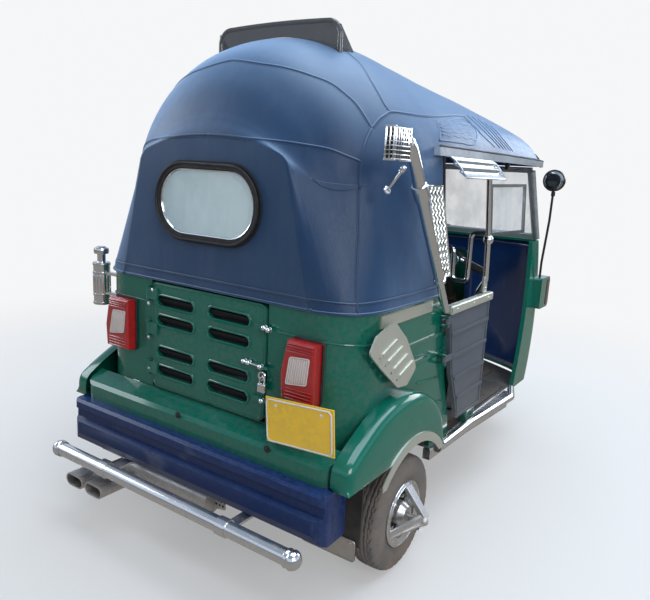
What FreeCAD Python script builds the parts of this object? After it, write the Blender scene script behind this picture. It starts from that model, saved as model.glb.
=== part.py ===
# Three-wheeled auto rickshaw with a soft hood over the passenger seat, two half-doors and a chrome dress kit.
# Frame: +X to the vehicle's right, +Y forward, +Z up, millimetres, origin on the ground under the middle.
import FreeCAD
import Part
import Sketcher
import math
import os
from types import SimpleNamespace
from FreeCAD import Placement, Rotation, Vector

doc = FreeCAD.newDocument("AutoRickshaw")

# Driving dimensions: name and millimetres, or degrees where the name says so.
sizeTable = [
    # wheels and axles
    ("rearAxleY", -825), ("frontAxleY", 1175), ("trackHalf", 575),
    ("tyreRadius", 207), ("tyreWidth", 106), ("shoulderDrop", 22),
    ("treadWidth", 84), ("rimRadius", 101), ("flangeRadius", 111), ("axleBore", 9), ("rimWidth", 90),
    ("rimWall", 4),
    ("drumRadius", 84), ("trimRing", 118), ("trimRingInner", 92),
    ("spinnerReach", 140), ("spinnerDome", 42), ("spokeWidth", 22), ("spokeThick", 8),
    # body: rear and side panels; flare, side gaps and overhangs count from the body's flank
    ("bodyHalf", 585), ("bodyRearY", -1175), ("cornerRadius", 150), ("wall", 20), ("bodyTopZ", 990),
    ("bodyLowZ", 500),
    ("sidePanelFrontY", -560), ("sidePanelFrontTopZ", 905), ("sillFrontY", 330),
    ("archRadius", 300), ("fenderFlare", 67), ("fenderRearY", -1250), ("fenderFrontY", -566),
    ("fenderTopZ", 662), ("fenderLowZ", 392), ("fenderSkin", 16), ("fenderRound", 34), ("housingSheet", 6),
    ("housingDepth", 131),
    # lip, bumper and rear bar
    ("lipTopZ", 552), ("lipEdgeZ", 526), ("lipLowZ", 458), ("lipReach", 81), ("lipRound", 52),
    ("bumperOverhang", 13), ("bumperLowZ", 286), ("bumperReach", 131), ("bumperWall", 8), ("bumperRound", 44),
    ("barRadius", 25), ("barHalf", 548), ("barReach", 210), ("barZ", 290), ("barBracketX", 292),
    ("barCollar", 40),
    # engine door: margins count from the flanks, and the slot rows stand at even places below the top
    ("doorSideLeft", 310), ("doorSideRight", 320), ("doorLowZ", 545), ("doorTopZ", 955), ("doorGap", 5),
    ("doorThick", 18), ("doorProud", 6), ("slotMarginLeft", 29), ("slotMarginRight", 67), ("slotBetween", 68),
    ("slotHeight", 38), ("hingeRadius", 8), ("pinRadius", 3), ("knuckle", 44),
    # lamps, plate and flaps
    ("lampSide", 99), ("lampWidth", 120), ("lampLowZ", 682), ("lampTopZ", 872), ("lampDepth", 45),
    ("plateWidth", 240), ("plateLowZ", 566), ("plateHeight", 132), ("plateThick", 4), ("plateTilt", 4.5),
    ("flapWidth", 140), ("flapLowZ", 240), ("flapThick", 6), ("tagWidth", 203), ("tagLowZ", 186),
    ("tagHeight", 74),
    # chassis
    ("railX", 300), ("railWidth", 50), ("railLowZ", 270), ("railHeight", 60), ("floorTopZ", 336),
    ("floorRearY", -380), ("floorHalf", 560.7), ("rakeDegrees", 30), ("columnRadius", 20), ("headRadius", 34),
    ("headLow", 318), ("headHigh", 520), ("forkSpread", 84), ("forkRadius", 15), ("columnTop", 860),
    ("guardRadius", 240), ("guardHalf", 62),
    # hood and roof
    ("hoodProud", 12), ("stripProud", 17.95), ("hoodThick", 12), ("hemZ", 962), ("eaveZ", 1452),
    ("hoodFrontLowY", -600), ("hoodFrontTopY", -690),
    ("windowHalf", 228), ("windowLowZ", 1130), ("windowHeight", 248), ("windowX", 0),
    ("spoilerY", -856), ("spoilerHalf", 268), ("spoilerTopZ", 1880), ("bowRadius", 11),
    # cab front
    ("cowlTopZ", 1068), ("cowlWall", 20), ("screenHalf", 500), ("screenHeight", 372), ("screenThick", 5),
    # seats
    ("seatLowZ", 620), ("seatThick", 120), ("seatFrontY", -330), ("seatRearY", -860), ("seatGap", 45),
    ("rest", 0.3),
    ("backTopZ", 1130), ("driverSeatZ", 600), ("driverSeatY", 120),
    # half-doors and steps
    ("halfDoorProud", 13), ("halfDoorThick", 22), ("hingeProud", 27), ("hingeY", -562), ("hingePin", 4),
    ("hingeEye", 24), ("hingeEar", 6), ("runningGap", 0.06), ("doorPostTopZ", 860), ("stepLowZ", 300),
    ("stepHeight", 42), ("stepOverhang", 51), ("stepRail", 17),
]


class Size:
    # A length that keeps its number and its formula over the sheet's named cells.
    def __init__(self, number, formula):
        self.number = number
        self.formula = formula

    def __float__(self):
        return float(self.number)

    def __neg__(self):
        return Size(-self.number, "-1 * " + self.formula)

    def __add__(self, other):
        other = sized(other)
        return Size(self.number + other.number, "(" + self.formula + " + " + other.formula + ")")

    def __sub__(self, other):
        other = sized(other)
        return Size(self.number - other.number, "(" + self.formula + " - " + other.formula + ")")

    def __mul__(self, other):
        other = sized(other)
        return Size(self.number * other.number, "(" + self.formula + " * " + other.formula + ")")

    def __radd__(self, other):
        return sized(other) + self

    def __rsub__(self, other):
        return sized(other) - self

    def __rmul__(self, other):
        return sized(other) * self


def sized(value):
    if isinstance(value, Size):
        return value
    return Size(float(value), "(" + repr(float(value)) + ")")


def makeSheet():
    sheet = doc.addObject("Spreadsheet::Sheet", "Sizes")
    known = {}
    for row, (name, value) in enumerate(sizeTable, start=1):
        sheet.set("A" + str(row), name)
        sheet.set("B" + str(row), str(value))
        sheet.setAlias("B" + str(row), name)
        known[name] = Size(value, "Sizes." + name)
    doc.recompute()
    return SimpleNamespace(**known)


s = makeSheet()
pieces = {}


def derive():
    # Sizes that follow from others, named once for the pieces that share them.
    s.seatHalf = s.bodyHalf - s.wall - s.seatGap
    s.fenderHalf = s.bodyHalf + s.fenderFlare
    s.lipRearY = s.bodyRearY - s.lipReach
    s.bumperHalf = s.bodyHalf + s.bumperOverhang
    s.bumperRearY = s.bodyRearY - s.bumperReach
    s.bumperTopZ = s.lipLowZ - s.rest
    s.barY = s.bodyRearY - s.barReach
    s.hoodRearY = s.bodyRearY - s.hoodProud
    s.doorLeftX = -s.bodyHalf + s.doorSideLeft
    s.doorRightX = s.bodyHalf - s.doorSideRight
    s.doorPinX = s.doorLeftX - 11
    s.doorPinY = s.bodyRearY - s.doorProud - 6
    s.slotLength = (s.doorRightX - s.doorLeftX - s.slotMarginLeft - s.slotMarginRight - s.slotBetween) * 0.5
    s.slotLeftX = s.doorLeftX + s.slotMarginLeft + s.slotLength * 0.5
    s.slotRightX = s.doorRightX - s.slotMarginRight - s.slotLength * 0.5
    s.lampOuterX = s.bodyHalf - s.lampSide
    s.lampInnerX = s.lampOuterX - s.lampWidth
    s.plateMidX = s.bodyHalf - 115
    s.plateMidZ = s.plateLowZ + s.plateHeight * 0.5
    s.flapOuterX = s.fenderHalf - 12
    s.flapY = s.rearAxleY - s.archRadius - 25
    s.halfDoorX = s.bodyHalf + s.halfDoorProud
    s.hingeX = s.bodyHalf + s.hingeProud


def bind(obj, prop, value):
    obj.setExpression(prop, sized(value).formula)


def place(obj, x, y, z):
    for axis, value in (("x", x), ("y", y), ("z", z)):
        bind(obj, "Placement.Base." + axis, value)
    return obj


def keep(node, obj):
    obj.Label = node
    pieces[node] = obj
    return obj


def block(name, x, y, z):
    # A box between two places on each axis.
    box = doc.addObject("Part::Box", name)
    for prop, (low, high) in (("Length", x), ("Width", y), ("Height", z)):
        bind(box, prop, sized(high) - low)
    return place(box, x[0], y[0], z[0])


def rod(name, radius, length, start, direction):
    # A round bar from a start point along a direction.
    bar = doc.addObject("Part::Cylinder", name)
    bar.Placement = Placement(Vector(), Rotation(Vector(0, 0, 1), Vector(*direction)))
    bind(bar, "Radius", radius)
    bind(bar, "Height", length)
    return place(bar, *start)


def ball(name, radius, centre):
    sphere = doc.addObject("Part::Sphere", name)
    bind(sphere, "Radius", radius)
    return place(sphere, *centre)


def cone(name, lowRadius, highRadius, length, start, direction):
    taper = doc.addObject("Part::Cone", name)
    taper.Placement = Placement(Vector(), Rotation(Vector(0, 0, 1), Vector(*direction)))
    bind(taper, "Radius1", lowRadius)
    bind(taper, "Radius2", highRadius)
    bind(taper, "Height", length)
    return place(taper, *start)


def cut(name, base, *tools):
    result = doc.addObject("Part::Cut", name)
    result.Base = base
    result.Tool = tools[0] if len(tools) == 1 else fuse(name + "Tools", *tools)
    return result


def fuse(name, *parts):
    result = doc.addObject("Part::MultiFuse", name)
    result.Shapes = list(parts)
    result.Refine = True
    return result


def common(name, *parts):
    result = doc.addObject("Part::MultiCommon", name)
    result.Shapes = list(parts)
    return result


def group(name, *parts):
    # Several solids that don't touch, kept as one piece.
    result = doc.addObject("Part::Compound", name)
    result.Links = list(parts)
    return result


def mirrored(name, source):
    result = doc.addObject("Part::Mirroring", name)
    result.Source = source
    result.Normal = Vector(1, 0, 0)
    return result


def pair(name, source):
    return group(name, source, mirrored(name + "Left", source))


def rounded(name, base, radius, test):
    # Rounds the edges that the test picks out.
    doc.recompute()
    edges = [(number, float(radius), float(radius)) for number, edge in enumerate(base.Shape.Edges, start=1)
             if test(edge)]
    result = doc.addObject("Part::Fillet", name)
    result.Base = base
    result.Edges = edges
    return result


def runsAlong(axis):
    direction = {"x": Vector(1, 0, 0), "y": Vector(0, 1, 0), "z": Vector(0, 0, 1)}[axis]

    def test(edge):
        if edge.Curve.TypeId != "Part::GeomLine":
            return False
        return abs(edge.tangentAt(edge.FirstParameter).dot(direction)) > 0.999
    return test


planeRoles = {"top": "XY_Plane", "front": "XZ_Plane", "side": "YZ_Plane"}


def outlineSketch(body, name, view, points):
    # A closed outline of straight lines with every corner tied to the sheet.
    plane = [feature for feature in body.Origin.OriginFeatures if feature.Role == planeRoles[view]][0]
    sketch = body.newObject("Sketcher::SketchObject", name)
    sketch.AttachmentSupport = (plane, [""])
    sketch.MapMode = "FlatFace"
    corners = [Vector(float(across), float(up), 0) for across, up in points]
    sketch.addGeometry([Part.LineSegment(a, b) for a, b in zip(corners, corners[1:] + corners[:1])], False)
    count = len(points)
    joins = [Sketcher.Constraint("Coincident", side, 2, (side + 1) % count, 1) for side in range(count)]
    for corner, (across, up) in enumerate(points):
        joins.append(Sketcher.Constraint("DistanceX", -1, 1, corner, 1, float(across)))
        joins.append(Sketcher.Constraint("DistanceY", -1, 1, corner, 1, float(up)))
    sketch.addConstraint(joins)
    for corner, (across, up) in enumerate(points):
        bind(sketch, "Constraints[" + str(count + 2 * corner) + "]", across)
        bind(sketch, "Constraints[" + str(count + 2 * corner + 1) + "]", up)
    return sketch


def pad(name, view, points, low, high):
    # An outline drawn in one view and given depth between two places on the third axis.
    body = doc.addObject("PartDesign::Body", name)
    sketch = outlineSketch(body, name + "Outline", view, points)
    bind(sketch, "AttachmentOffset.Base.z", -sized(high) if view == "front" else sized(low))
    solid = body.newObject("PartDesign::Pad", name + "Pad")
    solid.Profile = sketch
    bind(solid, "Length", sized(high) - low)
    return body


def turned(name, view, points, axis, degrees=360):
    # An outline revolved about a line through the body's own origin.
    body = doc.addObject("PartDesign::Body", name)
    sketch = outlineSketch(body, name + "Section", view, points)
    solid = body.newObject("PartDesign::Revolution", name + "Turn")
    solid.Profile = sketch
    solid.ReferenceAxis = (sketch, [axis])
    solid.Angle = degrees
    return body


def routeWire(points, bend):
    # Straight runs joined by tangent arcs of one radius.
    edges = []
    start = points[0]
    for before, corner, after in zip(points, points[1:], points[2:]):
        back = (before - corner).normalize()
        ahead = (after - corner).normalize()
        half = (math.pi - back.getAngle(ahead)) / 2
        reach = bend * math.tan(half)
        first = corner + back * reach
        last = corner + ahead * reach
        middle = corner + (back + ahead).normalize() * (bend / math.cos(half) - bend)
        edges.append(Part.LineSegment(start, first).toShape())
        edges.append(Part.Arc(first, middle, last).toShape())
        start = last
    edges.append(Part.LineSegment(start, points[-1]).toShape())
    return Part.Wire(edges)


def tube(name, points, radius, bend):
    # A bent round bar through a list of corner points.
    corners = [Vector(*[float(value) for value in point]) for point in points]
    path = doc.addObject("Part::Feature", name + "Path")
    path.Shape = routeWire(corners, float(bend))
    ring = doc.addObject("Part::Circle", name + "Ring")
    ring.Placement = Placement(corners[0], Rotation(Vector(0, 0, 1), corners[1] - corners[0]))
    bind(ring, "Radius", radius)
    sweep = doc.addObject("Part::Sweep", name)
    sweep.Sections = [ring]
    sweep.Spine = (path, ["Edge" + str(number) for number in range(1, len(path.Shape.Edges) + 1)])
    sweep.Solid = True
    sweep.Frenet = False
    return sweep


def archWire(foot, half, low, eave, crown, shoulder, lift):
    # Sides that lean in from the foot's half width to the eave's, a shoulder arc each side and one crown
    # arc between them, all tangent.
    length = math.hypot(half - foot, eave - low)
    outX = (eave - low) / length
    outZ = (foot - half) / length
    side = half - shoulder * outX
    level = eave - shoulder * outZ
    centre = (side ** 2 + level ** 2 - (crown - shoulder) ** 2) / (2 * (level - crown + shoulder))
    crownRadius = crown - centre
    lean = math.atan2(side, level - centre)
    joinX = crownRadius * math.sin(lean)
    joinZ = centre + crownRadius * math.cos(lean)
    midLean = (lean + math.atan2(outX, outZ)) / 2
    midX = side + shoulder * math.sin(midLean)
    midZ = level + shoulder * math.cos(midLean)
    edges = [
        Part.LineSegment(lift(foot, low), lift(half, eave)),
        Part.Arc(lift(half, eave), lift(midX, midZ), lift(joinX, joinZ)),
        Part.Arc(lift(joinX, joinZ), lift(0, crown), lift(-joinX, joinZ)),
        Part.Arc(lift(-joinX, joinZ), lift(-midX, midZ), lift(-half, eave)),
        Part.LineSegment(lift(-half, eave), lift(-foot, low)),
        Part.LineSegment(lift(-foot, low), lift(foot, low)),
    ]
    return Part.Wire([edge.toShape() for edge in edges])


def shell(name, outer, inner):
    # A loft through arch sections with another one taken out of it.
    skin = doc.addObject("Part::Feature", name)
    skin.Shape = Part.makeLoft(outer, True, False).cut(Part.makeLoft(inner, True, False))
    return skin


def slotTool(name, view, centre, length, height, depth):
    # A cutter with round ends, long side across, reaching the given depth both ways.
    across, forward, up = centre
    reach = sized(length) - height
    bar = block(name + "Bar", (across - reach * 0.5, across + reach * 0.5),
                (forward - depth, forward + depth),
                (up - sized(height) * 0.5, up + sized(height) * 0.5))
    ends = [rod(name + side, sized(height) * 0.5, sized(depth) * 2,
                (across + reach * sign, forward - depth, up),
                (0, 1, 0)) for side, sign in (("A", -0.5), ("B", 0.5))]
    return fuse(name, bar, *ends)


# Wheels

def makeTyre(node, placement):
    # Closed tyre section: bead, sidewall, shoulder and flat tread, drawn as axial place and radius.
    half = s.tyreWidth * 0.5
    tread = s.treadWidth * 0.5
    bead = s.rimWidth * 0.5 - 5
    section = [
        (-bead, s.rimRadius + 3), (bead, s.rimRadius + 3), (bead, s.flangeRadius + 2),
        (half - 4, s.flangeRadius + 16), (half, s.tyreRadius - 52), (half - 3, s.tyreRadius - s.shoulderDrop),
        (tread, s.tyreRadius - 4), (tread - 14, s.tyreRadius), (14 - tread, s.tyreRadius),
        (-tread, s.tyreRadius - 4), (3 - half, s.tyreRadius - s.shoulderDrop), (-half, s.tyreRadius - 52),
        (4 - half, s.flangeRadius + 16), (-bead, s.flangeRadius + 2),
    ]
    tyre = turned(node.title().replace("_", ""), "front", section, "H_Axis")
    tyre.Placement = placement
    return keep(node, tyre)


def makeRim(node, placement, spinner):
    # Well-base rim with a dished centre and the brake drum behind it.
    half = s.rimWidth * 0.5
    well = s.rimRadius - s.rimWall
    name = node.title().replace("_", "")
    section = [
        (-half, s.flangeRadius), (-half, s.rimRadius - s.rimWall), (-10, well - 8), (-10, s.drumRadius),
        (-half - 14, s.drumRadius), (-half - 14, s.axleBore), (24, s.axleBore), (24, 34), (8, 48),
        (8, well - 8),
        (half, well), (half, s.flangeRadius), (half - 5, s.flangeRadius), (half - 5, s.rimRadius + 3),
        (5 - half, s.rimRadius + 3), (5 - half, s.flangeRadius),
    ]
    rim = turned(name + "Barrel", "front", section, "H_Axis")
    tools = []
    for number in range(5):
        angle = 2 * math.pi * number / 5
        tools.append(rod(name + "Vent" + str(number), 11, 14, (4, 68 * math.cos(angle), 68 * math.sin(angle)),
                         (1, 0, 0)))
    rim = cut(name, rim, *tools)
    if spinner:
        rim = fuse(name + "Dressed", rim, makeSpinner(name + "Spinner"))
    rim.Placement = placement
    return keep(node, rim)


def makeSpinner(name):
    # Trim ring, hub dome and three legs that meet at a knob well outside the wheel.
    face = s.rimWidth * 0.5
    ring = turned(name + "Ring", "front", [
        (face, s.trimRingInner), (face + 4, s.trimRingInner - 3), (face + 12, s.trimRing - 8),
        (face + 6, s.trimRing), (face, s.trimRing)], "H_Axis")
    dome = turned(name + "Dome", "front", [
        (22, 0), (22, s.spinnerDome), (face, s.spinnerDome), (face + 22, 30), (face + 34, 0)], "H_Axis")
    legs = []
    for number in range(3):
        leg = pad(name + "Leg" + str(number), "front", [
            (face, s.trimRing - 6), (face + 9, s.trimRing - 12), (s.spinnerReach, 9), (s.spinnerReach, 0),
            (s.spinnerReach - 18, 0), (face + 4, s.trimRingInner + 2)], -s.spokeThick * 0.5,
            s.spokeThick * 0.5)
        leg.Placement = Placement(Vector(), Rotation(Vector(1, 0, 0), 120 * number))
        blade = pad(name + "Blade" + str(number), "front", [
            (face, s.trimRing - 6), (face + 5, s.trimRing - 8), (s.spinnerReach - 6, 6),
            (s.spinnerReach - 18, 0)],
            0, s.spokeWidth * 1.6)
        blade.Placement = Placement(Vector(), Rotation(Vector(1, 0, 0), 120 * number))
        legs += [leg, blade]
    stem = rod(name + "Stem", 9, s.spinnerReach - face - 20, (face + 20, 0, 0), (1, 0, 0))
    knob = ball(name + "Knob", 15, (s.spinnerReach - 8, 0, 0))
    return fuse(name, ring, dome, stem, knob, *legs)


def makeWheels():
    # side, direction that its outer face looks
    for side, sign in (("left", -1), ("right", 1)):
        hub = Placement(Vector(sign * float(s.trackHalf), float(s.rearAxleY), float(s.tyreRadius)),
                        Rotation(Vector(0, 0, 1), 0 if sign > 0 else 180))
        makeTyre("rear_tyre_" + side, hub)
        makeRim("rear_rim_" + side, hub, True)
    front = Placement(Vector(0, float(s.frontAxleY), float(s.tyreRadius)), Rotation())
    makeTyre("front_tyre", front)
    makeRim("front_rim", front, False)


# Chassis, axles and power unit

def steerPlacement():
    # Local +Z is the steering axis, from the front wheel's centre up and back.
    return Placement(Vector(0, float(s.frontAxleY), float(s.tyreRadius)),
                     Rotation(Vector(1, 0, 0), float(s.rakeDegrees)))


def makeChassis():
    rails = []
    for sign, side in ((-1, "Left"), (1, "Right")):
        centre = s.railX * sign
        rails.append(block("Rail" + side, (centre - s.railWidth * 0.5, centre + s.railWidth * 0.5),
                           (-1140, 700),
                           (s.railLowZ, s.railLowZ + s.railHeight)))
    # y place of each cross member between the rails
    for number, y in enumerate((-1140, -420, 140, 640)):
        rails.append(block("CrossMember" + str(number), (-s.railX, s.railX), (y, y + 50),
                           (s.railLowZ + 8, s.railLowZ + s.railHeight)))
    rails.append(pad("NeckBeam", "side", [
        (650, s.railLowZ + 8), (866, s.railLowZ + 8), (986, 474), (930, 640), (880, 620), (900, 500),
        (820, s.railLowZ + s.railHeight), (650, s.railLowZ + s.railHeight)], -26, 26))
    head = rod("HeadTube", s.headRadius, s.headHigh - s.headLow, (0, 0, 0), (0, 0, 1))
    bore = rod("HeadBore", s.columnRadius + 0.5, 900, (0, 0, 0), (0, 0, 1))
    for obj, start in ((head, s.headLow), (bore, 0)):
        turn = steerPlacement()
        obj.Placement = Placement(turn.multVec(Vector(0, 0, float(start))), turn.Rotation)
        for axis in "xyz":
            obj.setExpression("Placement.Base." + axis, None)
    keep("chassis_frame", cut("ChassisFrame", fuse("ChassisWelded", head, *rails), bore))


def makeFloor():
    floor = pad("FloorSheet", "top", [
        (s.floorHalf, s.floorRearY), (s.floorHalf, 560), (500, 680), (300, 790), (-300, 790), (-500, 680),
        (-s.floorHalf, 560), (-s.floorHalf, s.floorRearY)], s.railLowZ + s.railHeight, s.floorTopZ)
    ribs = [block("FloorRib" + str(number), (x - 9, x + 9), (s.seatFrontY + 5, 600),
                  (s.floorTopZ - 1, s.floorTopZ + 6))
            for number, x in enumerate((-400, -320, -240, 240, 320, 400))]
    keep("floor_pan", fuse("FloorPan", floor, *ribs))


def makeRearAxle():
    # Trailing arm with a hub stub on each side.
    arm = pad("TrailingArm", "side", [
        (-520, 268), (-440, 262), (-440, 318), (-520, 322), (s.rearAxleY + 30, s.tyreRadius + 34),
        (s.rearAxleY - 40, s.tyreRadius + 30), (s.rearAxleY - 40, s.tyreRadius - 32),
        (s.rearAxleY + 30, s.tyreRadius - 34)], 400, 440)
    rail = s.railX + s.railWidth * 0.5
    pivot = rod("ArmPivot", 16, -rail + 410, (rail, -480, 292), (1, 0, 0))
    stub = rod("HubStub", 26, 70, (440, s.rearAxleY, s.tyreRadius), (1, 0, 0))
    spindle = rod("HubSpindle", s.axleBore - s.runningGap, 86, (505, s.rearAxleY, s.tyreRadius), (1, 0, 0))
    shaft = rod("DriveShaft", 13, 235, (170, s.rearAxleY, s.tyreRadius + 6), (1, 0, 0))
    boot = cone("ShaftBoot", 30, 18, 50, (170, s.rearAxleY, s.tyreRadius + 6), (1, 0, 0))
    keep("rear_arms", pair("RearArms", fuse("RearArm", arm, pivot, stub, spindle, shaft, boot)))


def makeEngine():
    block1 = block("EngineSolid", (-170, 170), (-1040, -640), (170, 480))
    keep("engine_block", rounded("EngineBlock", block1, 30, runsAlong("x")))


def makeExhaust():
    # Silencer across the tail with two flat outlets at its left end.
    can = rod("SilencerCan", 44, 420, (-340, -1215, 226), (1, 0, 0))
    pipe = rod("SilencerPipe", 17, 160, (-60, -1200, 232), (0, 1, 0))
    outlets = []
    for number, x in enumerate((-432, -322)):
        across = [block("OutletBar" + str(number), (x - 25, x + 25), (-1415, -1260), (184, 232))]
        bore = [block("OutletHole" + str(number), (x - 25, x + 25), (-1430, -1300), (190, 226))]
        for side in (-25, 25):
            tag = str(number) + ("A" if side < 0 else "B")
            across.append(rod("OutletEnd" + tag, 24, 155, (x + side, -1415, 208), (0, 1, 0)))
            bore.append(rod("OutletBore" + tag, 18, 130, (x + side, -1430, 208), (0, 1, 0)))
        outlets.append(cut("Outlet" + str(number), fuse("OutletBody" + str(number), *across),
                           fuse("OutletCore" + str(number), *bore)))
    link = block("OutletLink", (-432, -300), (-1275, -1200), (196, 224))
    keep("exhaust", fuse("Exhaust", can, pipe, link, *outlets))


# Body

def archTool(name, radius, low, high):
    return rod(name, radius, sized(high) - low, (low, s.rearAxleY, s.tyreRadius), (1, 0, 0))


def cornerBar(name, outer, rearY, radius, thick, low, high):
    # Plan strip of one wall thickness: along the flank, round the rear corner and a little across the tail.
    centre = Vector(outer - radius, rearY + radius, low)
    arcs = []
    for reach in (radius, radius - thick):
        arcs.append(Part.Arc(centre + Vector(0, -reach, 0),
                             centre + Vector(reach * math.sqrt(0.5), -reach * math.sqrt(0.5), 0),
                             centre + Vector(reach, 0, 0)))
    front = -390.0
    corners = [centre + Vector(radius, 0, 0), Vector(outer, front, low), Vector(outer - thick, front, low),
               centre + Vector(radius - thick, 0, 0)]
    edges = [arcs[0].toShape(), Part.makeLine(corners[0], corners[1]), Part.makeLine(corners[1], corners[2]),
             Part.makeLine(corners[2], corners[3]), arcs[1].toShape(),
             Part.makeLine(centre + Vector(0, thick - radius, 0), centre + Vector(0, -radius, 0))]
    bar = doc.addObject("Part::Feature", name)
    bar.Shape = Part.Face([Part.Wire(Part.__sortEdges__(edges))]).extrude(Vector(0, 0, high - low))
    return bar


# foot height of each half-door hinge's eye
hingeHeights = (700, 846)


def makeSidePanels():
    # Quarter panel from the tail to the half-door, its front edge leaning forward to the sill.
    outline = [
        (s.bodyRearY, s.bodyLowZ), (s.bodyRearY, s.bodyTopZ), (-640, s.bodyTopZ),
        (s.sidePanelFrontY, s.sidePanelFrontTopZ), (-470, 600), (-400, 420), (-400, 345),
        (s.fenderFrontY, 345), (s.fenderFrontY, s.bodyLowZ)]
    bar = cornerBar("QuarterBar", float(s.bodyHalf), float(s.bodyRearY), float(s.cornerRadius), float(s.wall),
                    340.0, 1000.0)
    panel = common("QuarterSheet", bar, pad("QuarterShape", "side", outline, 300, 700))
    panel = cut("QuarterPanel", panel, archTool("QuarterArch", s.archRadius, 500, 700))
    # swage lines: low z of each pressed rib
    ribs = [block("Swage" + str(number), (s.bodyHalf - 4, s.bodyHalf + 5), (-960, front), (z, z + 14))
            for number, (z, front) in enumerate(((800, -536), (730, -514)))]
    # fixed ears and pin of each half-door hinge
    ears = []
    for number, z in enumerate(hingeHeights):
        for level, low in (("Low", z - s.hingeEar - 2), ("High", z + s.hingeEye + 2)):
            ears.append(block("HingeEar" + level + str(number), (s.bodyHalf - 2, s.hingeX + 8),
                              (s.hingeY - 8, s.hingeY + 8), (low, low + s.hingeEar)))
        ears.append(rod("HingePin" + str(number), s.hingePin, s.hingeEye + s.hingeEar * 2 + 4,
                        (s.hingeX, s.hingeY, z - s.hingeEar - 2), (0, 0, 1)))
    keep("side_panels", pair("SidePanels", fuse("QuarterSide", panel, *ribs, *ears)))


def makeFenders():
    # Wide flare over the wheel: an arched box open below, with a rolled outer edge.
    outline = [
        (s.fenderRearY, s.lipLowZ), (s.fenderRearY, s.lipEdgeZ), (-1130, 600), (-990, s.fenderTopZ - 10),
        (-860, s.fenderTopZ), (-740, s.fenderTopZ - 26), (-640, 570), (-584, 480),
        (s.fenderFrontY, s.fenderLowZ),
        (-640, s.fenderLowZ), (-700, s.lipLowZ)]
    flare = pad("FlareBlock", "side", outline, s.bodyHalf, s.fenderHalf)
    flare = rounded("FlareRolled", flare, s.fenderRound,
                    lambda edge: abs(edge.CenterOfMass.x - float(s.fenderHalf)) < 0.1
                    and edge.CenterOfMass.z > float(s.fenderLowZ) + 30
                    and math.hypot(edge.CenterOfMass.y - float(s.rearAxleY),
                                   edge.CenterOfMass.z - float(s.tyreRadius)) > float(s.archRadius) + 40)
    arch = archTool("FlareArch", s.archRadius, 500, 700)
    hollow = archTool("FlareHollow", s.archRadius + 60, s.bodyHalf - 85, s.fenderHalf - s.fenderSkin)
    flare = cut("Flare", flare, arch, common("FlareInside", hollow, block(
        "FlareInsideBox", (500, 700), (-1300, -500), (300, 600))))
    return flare


def makeFenderPair():
    keep("fenders", pair("Fenders", makeFenders()))
    # Chrome crescent lining the arch.
    ring = turned("CrescentRing", "front", [(0, s.archRadius + 2), (0, s.archRadius - 30),
                                            (3, s.archRadius - 30),
                                            (3, s.archRadius + 2)], "H_Axis")
    ring.Placement = Placement(Vector(float(s.fenderHalf), float(s.rearAxleY), float(s.tyreRadius)),
                               Rotation())
    return common("Crescent", ring, block("CrescentZone", (600, 700), (-1050, -600), (390, 560)))


def makeWheelHousings():
    sheet = turned("HousingSheet", "front", [(0, s.archRadius + 2), (0, s.archRadius + 8),
                                             (s.housingDepth, s.archRadius + 8),
                                             (s.housingDepth, s.archRadius + 2)], "H_Axis")
    inner = s.bodyHalf - s.wall - s.housingDepth
    sheet.Placement = Placement(Vector(float(inner) + 4, float(s.rearAxleY), float(s.tyreRadius)), Rotation())
    wall = rod("HousingWallDisc", s.archRadius + 8, s.housingSheet, (inner, s.rearAxleY, s.tyreRadius),
               (1, 0, 0))
    reach = s.archRadius + 25
    upper = common("HousingUpper", fuse("HousingFull", sheet, wall),
                   block("HousingZone", (inner - 30, s.bodyHalf - s.wall),
                         (s.rearAxleY - reach, s.rearAxleY + reach),
                         (345, s.tyreRadius + s.archRadius + 30)))
    keep("wheel_housings", pair("WheelHousings", upper))


# foot height of each engine door knuckle
knuckleHeights = (610, 760, 890)


def makeRearPanel():
    low = s.lipTopZ + 2
    half = s.bodyHalf - s.cornerRadius
    sheet = block("RearSheet", (-half, half), (s.bodyRearY, s.bodyRearY + s.wall),
                  (low, s.bodyTopZ))
    opening = block("DoorOpening", (s.doorLeftX - s.doorGap, s.doorRightX + s.doorGap), (-1300, -1100),
                    (s.doorLowZ + 12, s.doorTopZ + s.doorGap))
    # fixed ears and pins that the engine door's knuckles turn on
    ears = []
    for number, z in enumerate(knuckleHeights):
        for level, low in (("Low", z - s.hingeEar - 1), ("High", z + s.knuckle + 1)):
            ears.append(block("PanelEar" + level + str(number),
                              (s.doorPinX - s.hingeRadius, s.doorPinX + s.hingeRadius),
                              (s.doorPinY - s.hingeRadius, s.bodyRearY), (low, low + s.hingeEar)))
        ears.append(rod("PanelPin" + str(number), s.pinRadius, s.knuckle + s.hingeEar * 2 + 2,
                        (s.doorPinX, s.doorPinY, z - s.hingeEar - 1), (0, 0, 1)))
    keep("rear_panel", fuse("RearPanel", cut("RearPanelSheet", sheet, opening), *ears))


def planForm(name, half, rearY, radius):
    # Tall block with its two rear corners rounded in plan.
    box = block(name, (-half, half), (rearY, s.bodyRearY + s.wall), (s.bumperLowZ - 10, s.lipTopZ + 10))

    def rearCorner(edge):
        return runsAlong("z")(edge) and edge.CenterOfMass.y < float(rearY) + 1
    return rounded(name + "Round", box, radius, rearCorner)


def makeLip():
    # Moulding below the rear panel that runs out into the fenders.
    bar = pad("LipBar", "side", [
        (s.bodyRearY, s.lipTopZ), (s.lipRearY + 14, s.lipEdgeZ), (s.lipRearY, s.lipEdgeZ - 12),
        (s.lipRearY, s.lipLowZ), (s.bodyRearY, s.lipLowZ)], -s.bodyHalf + 1, s.bodyHalf - 1)
    keep("rear_lip", common("RearLip", bar, planForm("LipPlan", s.bodyHalf - 1, s.lipRearY, s.lipRound)))


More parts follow.
